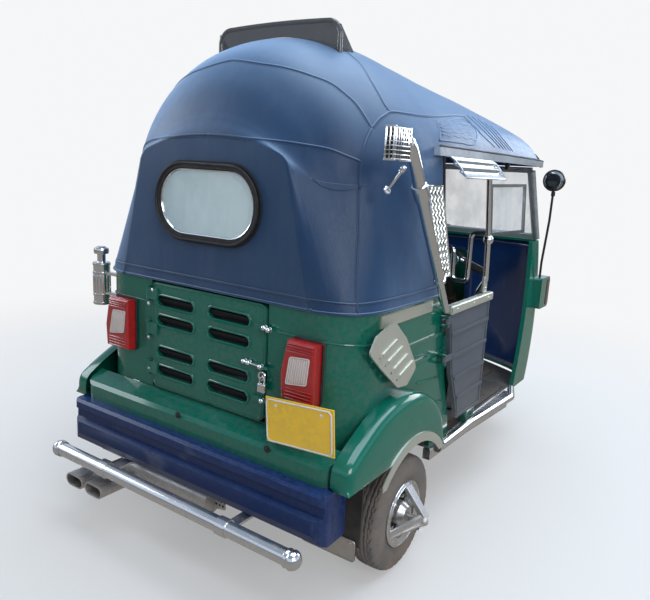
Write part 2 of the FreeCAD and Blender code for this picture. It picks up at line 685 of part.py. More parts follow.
def makeBumper():
    # Moulded bumper: a thin upper band, a recess and a bulged lower part, its ends rounded in plan.
    section = [
        (s.bodyRearY - 2, s.bumperTopZ), (s.bumperRearY + 18, s.bumperTopZ),
        (s.bumperRearY + 8, s.bumperTopZ - 9),
        (s.bumperRearY + 8, s.bumperTopZ - 34), (s.bumperRearY + 24, s.bumperTopZ - 42),
        (s.bumperRearY + 22, s.bumperTopZ - 72), (s.bumperRearY, s.bumperTopZ - 84),
        (s.bumperRearY, s.bumperLowZ + 40), (s.bumperRearY + 12, s.bumperLowZ + 12),
        (s.bumperRearY + 38, s.bumperLowZ), (s.bodyRearY - 2, s.bumperLowZ)]
    bar = pad("BumperBar", "side", section, -s.bumperHalf, s.bumperHalf)
    bar = common("BumperRound", bar, planForm("BumperPlan", s.bumperHalf, s.bumperRearY, s.bumperRound))
    hollow = pad("BumperHollow", "side", [
        (s.bodyRearY, s.bumperTopZ - s.bumperWall), (s.bumperRearY + 46, s.bumperTopZ - s.bumperWall),
        (s.bumperRearY + 34, s.bumperTopZ - 70), (s.bumperRearY + 46, s.bumperLowZ + 14),
        (s.bumperRearY + 46, s.bumperLowZ - 20), (s.bodyRearY, s.bumperLowZ - 20)],
        12 - s.bumperHalf, s.bumperHalf - 12)
    keep("rear_bumper", cut("RearBumper", bar, hollow))


def makeRearBar():
    # The bar's tube, its domed ends, and a collar and arm each side.
    bar = rod("RearBarTube", s.barRadius, s.barHalf * 2, (-s.barHalf, s.barY, s.barZ), (1, 0, 0))
    ends = [ball("RearBarEnd" + side, s.barRadius, (s.barHalf * sign, s.barY, s.barZ))
            for side, sign in (("A", -1), ("B", 1))]
    arms = []
    for side, sign in (("A", -1), ("B", 1)):
        x = s.barBracketX * sign
        arms.append(block("BarArm" + side, (x - 20, x + 20), (s.barY, s.bodyRearY + 33),
                          (s.bumperLowZ - s.rest - 9, s.bumperLowZ - s.rest)))
        arms.append(rod("BarCollar" + side, s.barRadius + 4, s.barCollar,
                        (x - s.barCollar * 0.5, s.barY, s.barZ), (1, 0, 0)))
    keep("rear_bar", fuse("RearBar", bar, *ends, *arms))


def makeEngineDoor():
    face = s.bodyRearY - s.doorProud
    sheet = block("DoorSheet", (s.doorLeftX, s.doorRightX), (face, face + s.doorThick),
                  (s.doorLowZ + 16, s.doorTopZ))
    sheet = rounded("DoorRound", sheet, 26, runsAlong("y"))
    # slots in two columns, each row at its depth below the door's top
    slots = []
    vanes = []
    for column, x in (("A", s.slotLeftX), ("B", s.slotRightX)):
        for row, drop in enumerate((65, 137, 255, 327)):
            z = s.doorTopZ - drop
            slots.append(slotTool("Slot" + column + str(row), "front", (x, face + 1, z),
                                  s.slotLength, s.slotHeight, 30))
            vanes.append(pad("Vane" + column + str(row), "side", [
                (face + 3, z + 4), (face + 3, z + 10), (face + s.doorThick - 1, z - 8),
                (face + s.doorThick - 1, z - 14)], x - s.slotLength * 0.5 + 1, x + s.slotLength * 0.5 - 1))
    door = cut("DoorLouvred", sheet, *slots)
    knuckles = []
    for number, z in enumerate(knuckleHeights):
        knuckles.append(cut("DoorKnuckle" + str(number),
                            rod("DoorEye" + str(number), s.hingeRadius, s.knuckle,
                                (s.doorPinX, s.doorPinY, z),
                                (0, 0, 1)),
                            rod("DoorEyeBore" + str(number), s.pinRadius + s.runningGap, s.knuckle,
                                (s.doorPinX, s.doorPinY, z), (0, 0, 1))))
        knuckles.append(block("DoorLeaf" + str(number), (s.doorPinX + s.pinRadius + 1, s.doorLeftX + 35),
                              (face - 9, face), (z, z + s.knuckle)))
    latches = []
    for number, z in enumerate((880, 750, 640)):
        latches.append(block("LatchPlate" + str(number), (s.doorRightX - 43, s.doorRightX - 3),
                             (face - 9, face),
                             (z - 10, z + 10)))
        latches.append(rod("LatchPin" + str(number), 6, 40, (s.doorRightX - 20, face - 8, z), (1, 0, 0)))
    keep("engine_door", fuse("EngineDoor", door, *vanes))
    keep("engine_door_fittings", group("EngineDoorFittings", fuse("DoorKnuckles0", knuckles[0], knuckles[1]),
                                       fuse("DoorKnuckles1", knuckles[2], knuckles[3]),
                                       fuse("DoorKnuckles2", knuckles[4], knuckles[5]),
                                       *[fuse("Latch" + str(n), latches[2 * n], latches[2 * n + 1])
                                         for n in range(3)]))


def makeTailLamps(bodyTail):
    # One lamp pattern used on both sides: a leaning body that flares to the left below the middle.
    lamps = []
    for number, shift in enumerate((0, -(s.lampInnerX + s.lampOuterX))):
        lamp = pad("LampBody" + str(number), "front", [
            (s.lampInnerX + shift + 12, s.lampTopZ), (s.lampOuterX + shift, s.lampTopZ),
            (s.lampOuterX + shift, s.lampLowZ), (s.lampInnerX + shift - 4, s.lampLowZ),
            (s.lampInnerX + shift - 10, s.lampLowZ + 82)], s.bodyRearY - s.lampDepth, s.bodyRearY + 16)
        lamps.append(rounded("Lamp" + str(number), lamp, 9,
                             lambda edge: edge.CenterOfMass.y < float(s.bodyRearY) - 40))
    keep("tail_lamps", cut("TailLamps", group("TailLampSet", *lamps), *bodyTail))


def plateCorners(margin):
    # The tilted plate's corners, set out by a margin.
    cos = math.cos(math.radians(float(s.plateTilt)))
    sin = math.sin(math.radians(float(s.plateTilt)))
    half = s.plateWidth * 0.5 + margin
    high = s.plateHeight * 0.5 + margin
    corners = []
    for across, up in ((-1, -1), (1, -1), (1, 1), (-1, 1)):
        corners.append((s.plateMidX + half * (across * cos) - high * (up * sin),
                        s.plateMidZ + half * (across * sin) + high * (up * cos)))
    return corners


def makePlate():
    face = s.lipRearY - 10
    back = face + s.plateThick
    plate = rounded("PlateRound", pad("PlateSheet", "front", plateCorners(0), face, back), 14, runsAlong("y"))
    frame = pad("PlateFrameSheet", "front", plateCorners(6), back, back + s.plateThick)
    level = s.plateMidZ
    stays = [block("PlateStay" + str(number), (x, x + 18), (back + 3, s.bodyRearY), (level, level + 12))
             for number, x in enumerate((s.plateMidX - 108, s.plateMidX - 58))]
    keep("number_plate", fuse("NumberPlate", plate, frame, *stays))


def makeFlaps():
    flap = block("FlapSheet", (s.flapOuterX - s.flapWidth, s.flapOuterX), (s.flapY, s.flapY + s.flapThick),
                 (s.flapLowZ, s.lipLowZ))
    tag = block("FlapTag", (s.flapOuterX - 12 - s.tagWidth, s.flapOuterX - 12), (s.flapY - 3, s.flapY),
                (s.tagLowZ, s.tagLowZ + s.tagHeight))
    tag = rounded("FlapTagRound", tag, 12, runsAlong("y"))
    keep("mud_flaps", pair("MudFlaps", fuse("MudFlap", flap, tag)))


def makeSteps():
    step = pad("StepPlate", "top", [
        (s.bodyHalf - 24, s.fenderFrontY + 6), (s.bodyHalf + 6, s.fenderFrontY + 6), (s.bodyHalf + 14, -220),
        (s.bodyHalf + s.stepOverhang - 8, 220), (s.bodyHalf + 15, s.sillFrontY),
        (s.bodyHalf - 24, s.sillFrontY)],
        s.stepLowZ, s.stepLowZ + s.stepHeight)
    rail = tube("StepRail", [
        (s.bodyHalf + 27, -545, s.stepLowZ + 52), (s.bodyHalf + 27, -210, s.stepLowZ + 52),
        (s.bodyHalf + s.stepOverhang + 6, 230, s.stepLowZ + 52), (s.bodyHalf + 15, 352, s.stepLowZ + 52)],
                s.stepRail, 60)
    keep("side_steps", pair("SideSteps", fuse("SideStep", step, rail)))


# Seats

def makeSeats():
    base = block("SeatFrontBoard", (-s.bodyHalf + 40, s.bodyHalf - 40), (s.seatFrontY - 20, s.seatFrontY),
                 (s.floorTopZ, s.seatLowZ - 20))
    shelf = block("SeatShelf", (-s.bodyHalf + 40, s.bodyHalf - 40), (s.seatRearY - 100, s.seatFrontY),
                  (s.seatLowZ - 20, s.seatLowZ - s.rest))
    keep("seat_base", fuse("SeatBase", base, shelf))
    cushion = block("SeatCushion", (-s.seatHalf, s.seatHalf), (s.seatRearY, s.seatFrontY),
                    (s.seatLowZ, s.seatLowZ + s.seatThick))
    keep("passenger_seat", rounded("PassengerSeat", cushion, 34, runsAlong("x")))
    back = pad("SeatBack", "side", [
        (s.seatRearY - 4, s.seatLowZ), (s.seatRearY - 70, s.backTopZ), (s.seatRearY - 150, s.backTopZ),
        (s.seatRearY - 96, s.seatLowZ)], -s.seatHalf, s.seatHalf)
    keep("passenger_backrest", rounded("PassengerBackrest", back, 24, runsAlong("x")))
    box = block("DriverBox", (-250, 300), (s.driverSeatY - 150, s.driverSeatY + 130),
                (s.floorTopZ + 6, s.driverSeatZ - s.rest))
    keep("driver_seat_base", rounded("DriverSeatBase", box, 20, runsAlong("z")))
    seat = block("DriverCushion", (-230, 280), (s.driverSeatY - 150, s.driverSeatY + 140),
                 (s.driverSeatZ, s.driverSeatZ + 90))
    seat = rounded("DriverCushionRound", seat, 26, runsAlong("x"))
    driverBack = pad("DriverBack", "side", [
        (s.driverSeatY - 150 - s.rest, s.driverSeatZ + 20),
        (s.driverSeatY - 150 - s.rest, s.driverSeatZ + 70),
        (s.driverSeatY - 190, s.driverSeatZ + 330),
        (s.driverSeatY - 240, s.driverSeatZ + 330), (s.driverSeatY - 210, s.driverSeatZ + 20)], -210, 260)
    keep("driver_seat", group("DriverSeat", seat, rounded("DriverBackRound", driverBack, 16, runsAlong("x"))))


# Hood

# y ahead of the hood's rear face, half width at the hem and at the eave beyond the flank, eave and crown
# above the hem, shoulder radius
backSections = (
    (0, -155, -260, 423, 516, 60),
    (19, -80, -235, 404, 568, 92),
    (67, -19, -175, 387, 690, 158),
    (157, 13, -68, 382, 797, 215),
)
roofSections = (
    (157, 13, -68, 382, 797, 215),
    (312, 18, 5, 400, 859, 215),
    (462, 18, 13, 448, 874, 203),
    (587, 18, 16, 473, 859, 190),
    (1187, 12, 12, 483, 793, 170),
    (1587, -11, -11, 480, 728, 150),
    (1877, -63, -63, 468, 600, 100),
)


def placed(table):
    # The table's rows in the vehicle's frame.
    rear, half, hem = float(s.hoodRearY), float(s.bodyHalf), float(s.hemZ)
    return [(rear + ahead, half + low, half + high, hem + eave, hem + crown, shoulder)
            for ahead, low, high, eave, crown, shoulder in table]


def widthAt(foot, half, eave, level):
    # Half width of a leaning side at one height, on the line from the hem to the eave.
    hem = float(s.hemZ)
    return foot + (half - foot) * (level - hem) / (eave - hem)


def hoodSections(rows, low, inset):
    wires = []
    for y, foot, half, eave, crown, shoulder in rows:
        foot = widthAt(foot, half, eave, low)
        wires.append(archWire(foot - inset, half - inset, low, eave, crown - inset, shoulder - inset * 0.5,
                              lambda x, z, y=y: Vector(x, y, z)))
    return wires


def makeHood():
    thick = float(s.hoodThick)
    low = float(s.hemZ)
    outerBack = placed(backSections)
    innerBack = [(outerBack[0][0] + thick,) + outerBack[0][1:]] + outerBack[1:]
    back = shell("HoodBackShell", hoodSections(outerBack, low, 0), hoodSections(innerBack, low - 30, thick))
    window = slotTool("RearWindowCut", "front", (s.windowX, s.hoodRearY, s.windowLowZ + s.windowHeight * 0.5),
                      s.windowHalf * 2, s.windowHeight, 60)
    keep("hood_back", cut("HoodBack", back, window, pieces["side_panels"], pieces["rear_panel"]))
    roof = placed(roofSections)
    top = shell("HoodTopShell", hoodSections(roof, low, 0), hoodSections(roof, low - 30, thick))
    opening = pad("HoodDoorway", "side", [
        (s.hoodFrontLowY, 800), (s.hoodFrontLowY, s.hemZ), (s.hoodFrontTopY, s.eaveZ), (900, s.eaveZ),
        (900, 800)],
        -700, 700)
    keep("hood_top", cut("HoodTop", top, opening, pieces["side_panels"]))


def makeRearWindow():
    middle = s.windowLowZ + s.windowHeight * 0.5
    outer = slotTool("WindowOuter", "front", (s.windowX, s.hoodRearY + 1, middle), s.windowHalf * 2 + 22,
                     s.windowHeight + 22, 7)
    inner = slotTool("WindowInner", "front", (s.windowX, s.hoodRearY + 1, middle), s.windowHalf * 2 - 26,
                     s.windowHeight - 26, 40)
    plug = slotTool("WindowPlug", "front", (s.windowX, s.hoodRearY + 1, middle), s.windowHalf * 2 - 2,
                    s.windowHeight - 2, 14)
    skin = slotTool("WindowSkin", "front", (s.windowX, s.hoodRearY + 11, middle), s.windowHalf * 2 + 60,
                    s.windowHeight + 60, 11)
    rim = cut("WindowRimFlange", outer, skin)
    keep("window_rubber", cut("WindowRubber", fuse("WindowRim", rim, plug), inner))
    glass = slotTool("WindowGlass", "front", (s.windowX, s.hoodRearY + 1, middle), s.windowHalf * 2 - 28,
                     s.windowHeight - 28, 2)
    keep("rear_window", glass)


def roofSectionAt(place):
    # Foot and eave half widths, eave, crown and shoulder of the roof at one y, between two of its sections.
    rows = placed(roofSections)
    for before, after in zip(rows, rows[1:]):
        if before[0] <= place <= after[0]:
            share = (place - before[0]) / (after[0] - before[0])
            return [low + share * (high - low) for low, high in zip(before[1:], after[1:])]
    raise ValueError("outside the roof")


def makeBows():
    # Hoops under the hood: y place and foot height of each.
    hoops = []
    inset = float(s.hoodThick + s.bowRadius) - 3
    feet = (float(s.bodyTopZ), float(s.bodyTopZ), float(s.eaveZ) - 32)
    for number, (y, low) in enumerate(zip((-1010, -660, 20), feet)):
        foot, half, eave, crown, shoulder = roofSectionAt(y)
        foot = widthAt(foot, half, eave, low)
        wire = archWire(foot - inset, half - inset, low, eave, crown - inset, shoulder - inset,
                        lambda x, z, y=y: Vector(x, y, z))
        ring = Part.Wire([Part.makeCircle(float(s.bowRadius), Vector(foot - inset, y, low), Vector(0, 0, 1))])
        hoop = doc.addObject("Part::Feature", "Hoop" + str(number))
        hoop.Shape = Part.Wire(wire.Edges[:5]).makePipeShell([ring], True, False)
        hoops.append(hoop)
    under = common("HoopsUnderRoof", group("HoopSet", *hoops), roofSolid(float(s.hoodThick + s.rest)))
    keep("hood_bows", cut("HoodBows", under, pieces["side_panels"]))


def roofSolid(inset):
    # The roof's closed outer form, or the form of its inside.
    solid = doc.addObject("Part::Feature", "RoofForm")
    solid.Shape = Part.makeLoft(hoodSections(placed(roofSections), float(s.hemZ), inset), True, False)
    return solid


def makeSpoiler():
    # Tinted band across the crown under a tubular rim, with a fin at each end that falls forward to the roof.
    y = float(s.spoilerY)
    half = float(s.spoilerHalf)
    top = float(s.spoilerTopZ)
    sunk = top - 150
    band = doc.addObject("Part::Feature", "SpoilerBand")
    outline = Part.Face([archWire(half, half, sunk, top - 62, top - 8, 48, lambda x, z: Vector(x, y, z))])
    band.Shape = outline.extrude(Vector(0, 8, 0))
    rim = doc.addObject("Part::Feature", "SpoilerRim")
    wire = archWire(half, half, sunk, top - 62, top - 9, 48, lambda x, z: Vector(x, y + 4, z))
    ring = Part.Wire([Part.makeCircle(9, Vector(half, y + 4, sunk), Vector(0, 0, 1))])
    rim.Shape = Part.Wire(wire.Edges[:5]).makePipeShell([ring], True, False)
    fins = pair("SpoilerFins", pad("SpoilerFin", "side", [
        (s.spoilerY, s.spoilerTopZ - 28), (s.spoilerY + 96, s.spoilerTopZ - 112), (s.spoilerY + 96, sunk),
        (s.spoilerY, sunk)], s.spoilerHalf - 3, s.spoilerHalf + 4))
    keep("roof_spoiler", cut("RoofSpoiler", fuse("SpoilerWhole", band, rim, fins), roofSolid(0)))


def makeGutters():
    bar = pad("GutterBar", "top", [
        (s.bodyHalf + beyond, y) for beyond, y in (
            (5, -750), (28, -750), (27, -100), (13, 280), (-13, 500), (-33, 620), (-55, 620), (-35, 500),
            (-9, 280), (5, -100))], s.eaveZ - 6, s.eaveZ + 24)
    bar = cut("GutterSeated", bar, roofSolid(0))
    # Three-ribbed visor over the doorway.
    section = [(0, 0), (26, -14), (24, -24), (50, -38), (48, -50), (70, -66), (70, -72), (42, -54), (44, -42),
               (18, -28), (20, -18), (0, -6)]
    visor = pad("VisorSheet", "front", [(s.bodyHalf + 22 + x, s.eaveZ - 2 + z) for x, z in section], -665,
                -275)
    keep("eave_trims", pair("EaveTrims", fuse("EaveTrim", bar, visor)))


# Chrome kit on the flanks

def makeStacks():
    out = s.bodyHalf + 37
    lower = tube("StackLower", [(out, -606, 908), (out + 8, -690, 1010), (out + 24, -942, 1340)], 13, 60)
    upper = tube("StackUpper", [(out + 24, -942, 1340), (out + 28, -985, 1400), (out + 28, -1030, 1462),
                                (out + 28, -1075, 1470)], 19, 30)
    sleeve = tube("StackSleeve", [(out + 10, -712, 1040), (out + 18, -840, 1204), (out + 23, -930, 1322)], 18,
                  800)
    head = block("StackHead", (out + 12, out + 42), (-1150, -1060), (1418, 1506))
    holes = [block("StackHole" + str(row) + str(column), (out - 2, out + 58), (y, y + 8), (z, z + 18))
             for row, z in enumerate((1425, 1453, 1481))
             for column, y in enumerate(range(-1145, -1060, 12))]
    head = cut("StackGrille", head, *holes)
    foot = rod("StackFoot", 7, 37, (s.bodyHalf, -612, 918), (1, 0, 0))
    keep("side_stacks", fuse("SideStack", lower, upper, sleeve, head, foot))


def makeStrips():
    strip = pad("HeatStrip", "side", [(-808, 1348), (-700, 1348), (-566, 1032), (-664, 1032)],
                s.bodyHalf + s.stripProud, s.bodyHalf + s.stripProud + 5)
    holes = []
    for row in range(9):
        for column in range(3):
            y = -760 + 15 * row + 28 * column
            z = 1326 - 34 * row
            holes.append(rod("StripHole" + str(row) + str(column), 9, 30, (s.bodyHalf, y - 18, z), (1, 0, 0)))
    hem = block("HemStripBar", (s.bodyHalf, s.bodyHalf + 6), (-1020, -652), (908, 948))
    return group("FlankStrips", cut("VentStrip", strip, *holes), hem)


def makeFlankTrims(crescent):
    plate = pad("GuardPlate", "side", [
        (-984, 934), (-892, 861), (-817, 763), (-805, 739), (-863, 693), (-931, 701), (-1059, 799),
        (-1126, 855), (-1091, 903)], s.bodyHalf + 27, s.bodyHalf + 33)
    plate = rounded("GuardRound", plate, 16, runsAlong("x"))
    # raised ribs, each with a small hole at its low end
    ribs = []
    holes = []
    for number, (y, z) in enumerate(((-1046, 836), (-1006, 805), (-965, 771), (-922, 738))):
        ribs.append(pad("GuardRib" + str(number), "side", [
            (y, z - 5), (y + 88, z + 26), (y + 85, z + 36), (y - 3, z + 5)], s.bodyHalf + 32,
            s.bodyHalf + 37))
        holes.append(rod("GuardHole" + str(number), 5, 20, (s.bodyHalf + 20, y - 18, z - 8), (1, 0, 0)))
    plate = cut("GuardPierced", plate, *holes)
    posts = [rod("GuardPost" + str(number), 6, 30, (s.bodyHalf, y, z), (1, 0, 0))
             for number, (y, z) in enumerate(((-1010, 870), (-930, 770)))]
    guard = fuse("CornerGuard", plate, *ribs, *posts)
    strips = makeStrips()
    keep("flank_trims", group("FlankTrims", pair("StripPair", strips), pair("CrescentPair", crescent), guard))


def makeCanister(panel):
    # Chrome bottle on two arms at the left rear corner.
    x = -s.bodyHalf - 47
    y = s.bodyRearY + 43
    can = rod("CanisterCan", 32, 170, (x, y, 806), (0, 0, 1))
    neck = rod("CanisterNeck", 16, 62, (x, y, 976), (0, 0, 1))
    cap = rod("CanisterCap", 26, 22, (x, y, 1010), (0, 0, 1))
    arms = [block("CanisterArm" + str(number), (x, x + 112), (y - 8, y + 8), (z, z + 12))
            for number, z in enumerate((850, 930))]
    keep("canister", cut("Canister", fuse("CanisterWhole", can, neck, cap, *arms), panel))


# Half-doors

def makeHalfDoors():
    low = s.halfDoorX
    high = s.halfDoorX + s.halfDoorThick
    outline = [(-550, 884), (-486, 640), (-400, 470), (-392, 426), (-132, 420), (-130, 884)]
    leaf = pad("DoorLeafSheet", "side", outline, low, high - 6)
    leaf = rounded("DoorLeafRound", leaf, 12, runsAlong("x"))
    ribs = [block("DoorBead" + str(number), (low + 4, high), (rear, -140), (z, z + 14))
            for number, (z, rear) in enumerate(((512, -404), (604, -450), (700, -490), (796, -518)))]
    straps = []
    bores = []
    for number, (z, reach) in enumerate(zip(hingeHeights, (-470, -520))):
        straps.append(block("DoorStrap" + str(number), (s.hingeX, s.hingeX + 6), (s.hingeY, reach),
                            (z, z + s.hingeEye)))
        straps.append(rod("DoorStrapEye" + str(number), 8, s.hingeEye, (s.hingeX, s.hingeY, z), (0, 0, 1)))
        bores.append(rod("DoorStrapBore" + str(number), s.hingePin + s.runningGap, s.hingeEye,
                         (s.hingeX, s.hingeY, z), (0, 0, 1)))
    leaf = cut("HalfDoorHung", fuse("HalfDoorWelded", leaf, *ribs, *straps), *bores)
    cap = block("DoorCapBar", (low - 4, high + 4), (-550, -126), (882, 914))
    cap = rounded("DoorCap", cap, 9, runsAlong("y"))
    door = fuse("HalfDoorCapped", leaf, cap)
    keep("half_door_right", door)
    keep("half_door_left", mirrored("HalfDoorLeft", door))


# Cab front

# height below the cowl's top, half width beyond the flank, rear y, eave y, crown y, shoulder radius
cowlSections = (
    (-738, 0, 430, 600, 905, 150),
    (-368, -7, 530, 680, 905, 130),
    (0, -37, 610, 700, 872, 110),
)


def cowlWires(inset, rearShift):
    top, flank = float(s.cowlTopZ), float(s.bodyHalf)
    wires = []
    for drop, beyond, rear, eave, crown, shoulder in cowlSections:
        half = flank + beyond - inset
        wires.append(archWire(half, half, rear - rearShift, eave, crown - inset, shoulder - inset * 0.5,
                              lambda x, y, z=top + drop: Vector(x, y, z)))
    return wires


def makeCowl():
    wall = float(s.cowlWall)
    cowl = shell("CowlShell", cowlWires(0, 0), cowlWires(wall, 60))
    window = block("CowlColumnGap", (-104, 104), (700, 1000), (430, 960))
    notch = block("CowlNeckGap", (-26 - s.rest, s.rest + 26), (700, 1000), (320, 440))
    # Top of the cowl, from the screen's foot forward.
    ledge = doc.addObject("Part::Feature", "LedgeSolid")
    top = float(s.cowlTopZ)
    wire = archWire(530, 530, 600, 702, 856, 100, lambda x, y: Vector(x, y, top - 12))
    ledge.Shape = Part.Face([wire]).extrude(Vector(0, 0, 12))
    ledge = cut("DashTop", ledge, block("LedgeRear", (-600, 600), (500, 746), (top - 60, top + 40)))
    keep("front_cowl", fuse("FrontCowl", cut("CowlOpened", cowl, window, notch), ledge))


def makeNose():
    # z, half width, crown y, shoulder radius; the nose stands on the cowl's front
    rows = ((452, 112, 1075, 60), (640, 118, 1062, 64), (820, 112, 985, 60), (985, 100, 905, 46))
    outer = [archWire(half, half, 800, crown - shoulder * 1.6, crown, shoulder,
                      lambda x, y, z=z: Vector(x, y, z))
             for z, half, crown, shoulder in rows]
    inner = [archWire(half - 10, half - 10, 760, crown - shoulder * 1.6, crown - 10, shoulder - 6,
                      lambda x, y, z=z: Vector(x, y, z)) for z, half, crown, shoulder in rows]
    nose = shell("NoseShell", outer, inner)
    roof = block("NoseLid", (-90, 90), (870, 896), (975, 985))
    solid = doc.addObject("Part::Feature", "CowlOuterSolid")
    solid.Shape = Part.makeLoft(cowlWires(-0.5, 200), True, False)
    sweep = steered(group("CrownSweep", block("CrownSweepBox", (-200, 200), (-300, 400), (-300, 310))))
    keep("front_nose", cut("FrontNose", fuse("NoseBody", nose, roof), solid, sweep))


def makeScreen():
    # Upright flat screen: its plane leans back from the cowl's top.
    lean = 21.0
    base = Vector(0, 776, float(s.cowlTopZ) + 11)
    height = s.screenHeight
    glass = pad("ScreenGlass", "front", [(-s.screenHalf, 8), (s.screenHalf, 8), (s.screenHalf - 22, height),
                                         (22 - s.screenHalf, height)], -s.screenThick * 0.5,
                                         s.screenThick * 0.5)
    ring = pad("ScreenRing", "front", [
        (-s.screenHalf - 18, -8), (s.screenHalf + 18, -8), (s.screenHalf - 6, height + 16),
        (6 - s.screenHalf, height + 16)], -9, 9)
    hole = pad("ScreenHole", "front", [(-s.screenHalf + 6, 18), (s.screenHalf - 6, 18),
                                       (s.screenHalf - 28, height - 8), (28 - s.screenHalf, height - 8)], -20,
                                       20)
    groove = pad("ScreenGroove", "front", [(-s.screenHalf - 1, 7), (s.screenHalf + 1, 7),
                                           (s.screenHalf - 21, height + 1), (21 - s.screenHalf, height + 1)],
                                           -3, 3)
    frame = cut("ScreenFrame", ring, hole, groove)
    turn = Placement(base, Rotation(Vector(1, 0, 0), lean))
    frame.Placement = turn
    glass.Placement = turn
    pillar = rod("Pillar", 13, height + 6, (s.screenHalf + 22, 771, s.cowlTopZ + 6), (-0.06, -0.358, 0.932))
    keep("windscreen_frame", fuse("WindscreenFrame", frame, pillar, mirrored("PillarLeft", pillar)))
    keep("windscreen", glass)
    # Panel between the screen's top and the roof.
    low = s.cowlTopZ + s.screenHeight + 8
    sheet = block("HeaderSheet", (-s.bodyHalf, s.bodyHalf), (640, 654), (low, low + 160))
    header = common("HeaderInRoof", sheet, roofSolid(float(s.hoodThick)))
    keep("front_header", cut("FrontHeader", header, pieces["windscreen_frame"]))


def makeCabRails():
    # Chrome posts behind the doorway with the side panes forward of them and the rail across the cab.
    flank = s.bodyHalf + 19
    post = tube("Post", [(flank - 30, -176, s.doorPostTopZ), (flank - 30, -176, 914), (flank, -182, 968),
                         (flank, -200, 1136), (flank - 2, -264, s.eaveZ - 8)], 11, 24)
    knob = ball("PostKnob", 21, (flank, -200, 1136))
    ring = pad("QuarterRing", "side", [(-245, 1358), (204, 1362), (252, 1142), (-200, 1152)], flank - 7,
               flank + 5)
    hole = pad("QuarterHole", "side", [(-218, 1346), (194, 1350), (236, 1155), (-176, 1164)], flank - 24,
               flank + 16)
    groove = pad("QuarterGroove", "side", [(-224, 1351), (198, 1355), (244, 1148), (-181, 1158)],
                 flank - 3, flank + 1)
    glass = pad("QuarterPane", "side", [(-223, 1350), (197, 1354), (243, 1149), (-180, 1159)],
                flank - 3, flank + 1)
    keep("quarter_glass", pair("QuarterGlass", glass))
    # the rail's corners from the right post to the middle
    corners = [(flank - back, y, z) for back, y, z in (
        (8, -210, 1162), (67, -214, 1158), (68, -214, 955), (134, -214, 955), (138, -214, 1090))]
    rail = tube("GrabRailTube", corners + [(-x, y, z) for x, y, z in reversed(corners)], 9, 22)
    side = cut("SidePost", fuse("PostAndRing", post, knob, cut("QuarterFrame", ring, hole)), groove)
    rails = fuse("CabRailsWelded", side, mirrored("SidePostLeft", side), rail)
    keep("cab_rails", cut("CabRails", rails, pieces["eave_trims"]))
    # Body posts that the half-doors shut against.
    foot = s.stepLowZ + s.stepHeight
    doorPost = block("DoorPostBox", (s.halfDoorX - 42, s.halfDoorX - 8), (-215, -112), (foot, s.doorPostTopZ))
    keep("door_posts", pair("DoorPosts", rounded("DoorPost", doorPost, 12, runsAlong("z"))))


def makeLamps():
    lamps = []
    lenses = []
    for side, sign in (("A", -1), ("B", 1)):
        bowl = cone("HeadBowl" + side, 60, 84, 60, (300 * sign, 850, 760), (0, 1, 0))
        lens = cone("HeadLens" + side, 82, 60, 14, (300 * sign, 910, 760), (0, 1, 0))
        lamps.append(bowl)
        lenses.append(lens)
    solid = doc.addObject("Part::Feature", "CowlLampSolid")
    solid.Shape = Part.makeLoft(cowlWires(-0.3, 0), True, False)
    lamps = [fuse("Headlamp" + str(number), bowl, lens)
             for number, (bowl, lens) in enumerate(zip(lamps, lenses))]
    keep("headlamps", cut("Headlamps", group("HeadlampSet", *lamps), solid))
    cheek = block("CheekBox", (s.bodyHalf - 29, s.bodyHalf + 27), (640, 790), (716, 880))
    cheek = rounded("CheekRound", cheek, 18, runsAlong("x"))
    keep("indicators", pair("Indicators", cut("Cheek", cheek, solid)))


def makeMirrors():
    outer = s.bodyHalf + 11
    stalk = tube("MirrorStalk", [(outer - 13, 690, 880), (outer - 13, 690, 960), (outer, 694, 1180),
                                 (outer, 700, 1332)], 6, 90)
    head = rod("MirrorHead", 54, 16, (outer, 692, 1384), (0, 1, 0))
    keep("mirrors", pair("Mirrors", fuse("Mirror", stalk, head)))


# Steering

def steered(obj):
    # Turns a piece drawn about the steering axis into its place.
    obj.Placement = steerPlacement()
    for axis in "xyz":
        obj.setExpression("Placement.Base." + axis, None)
    return obj


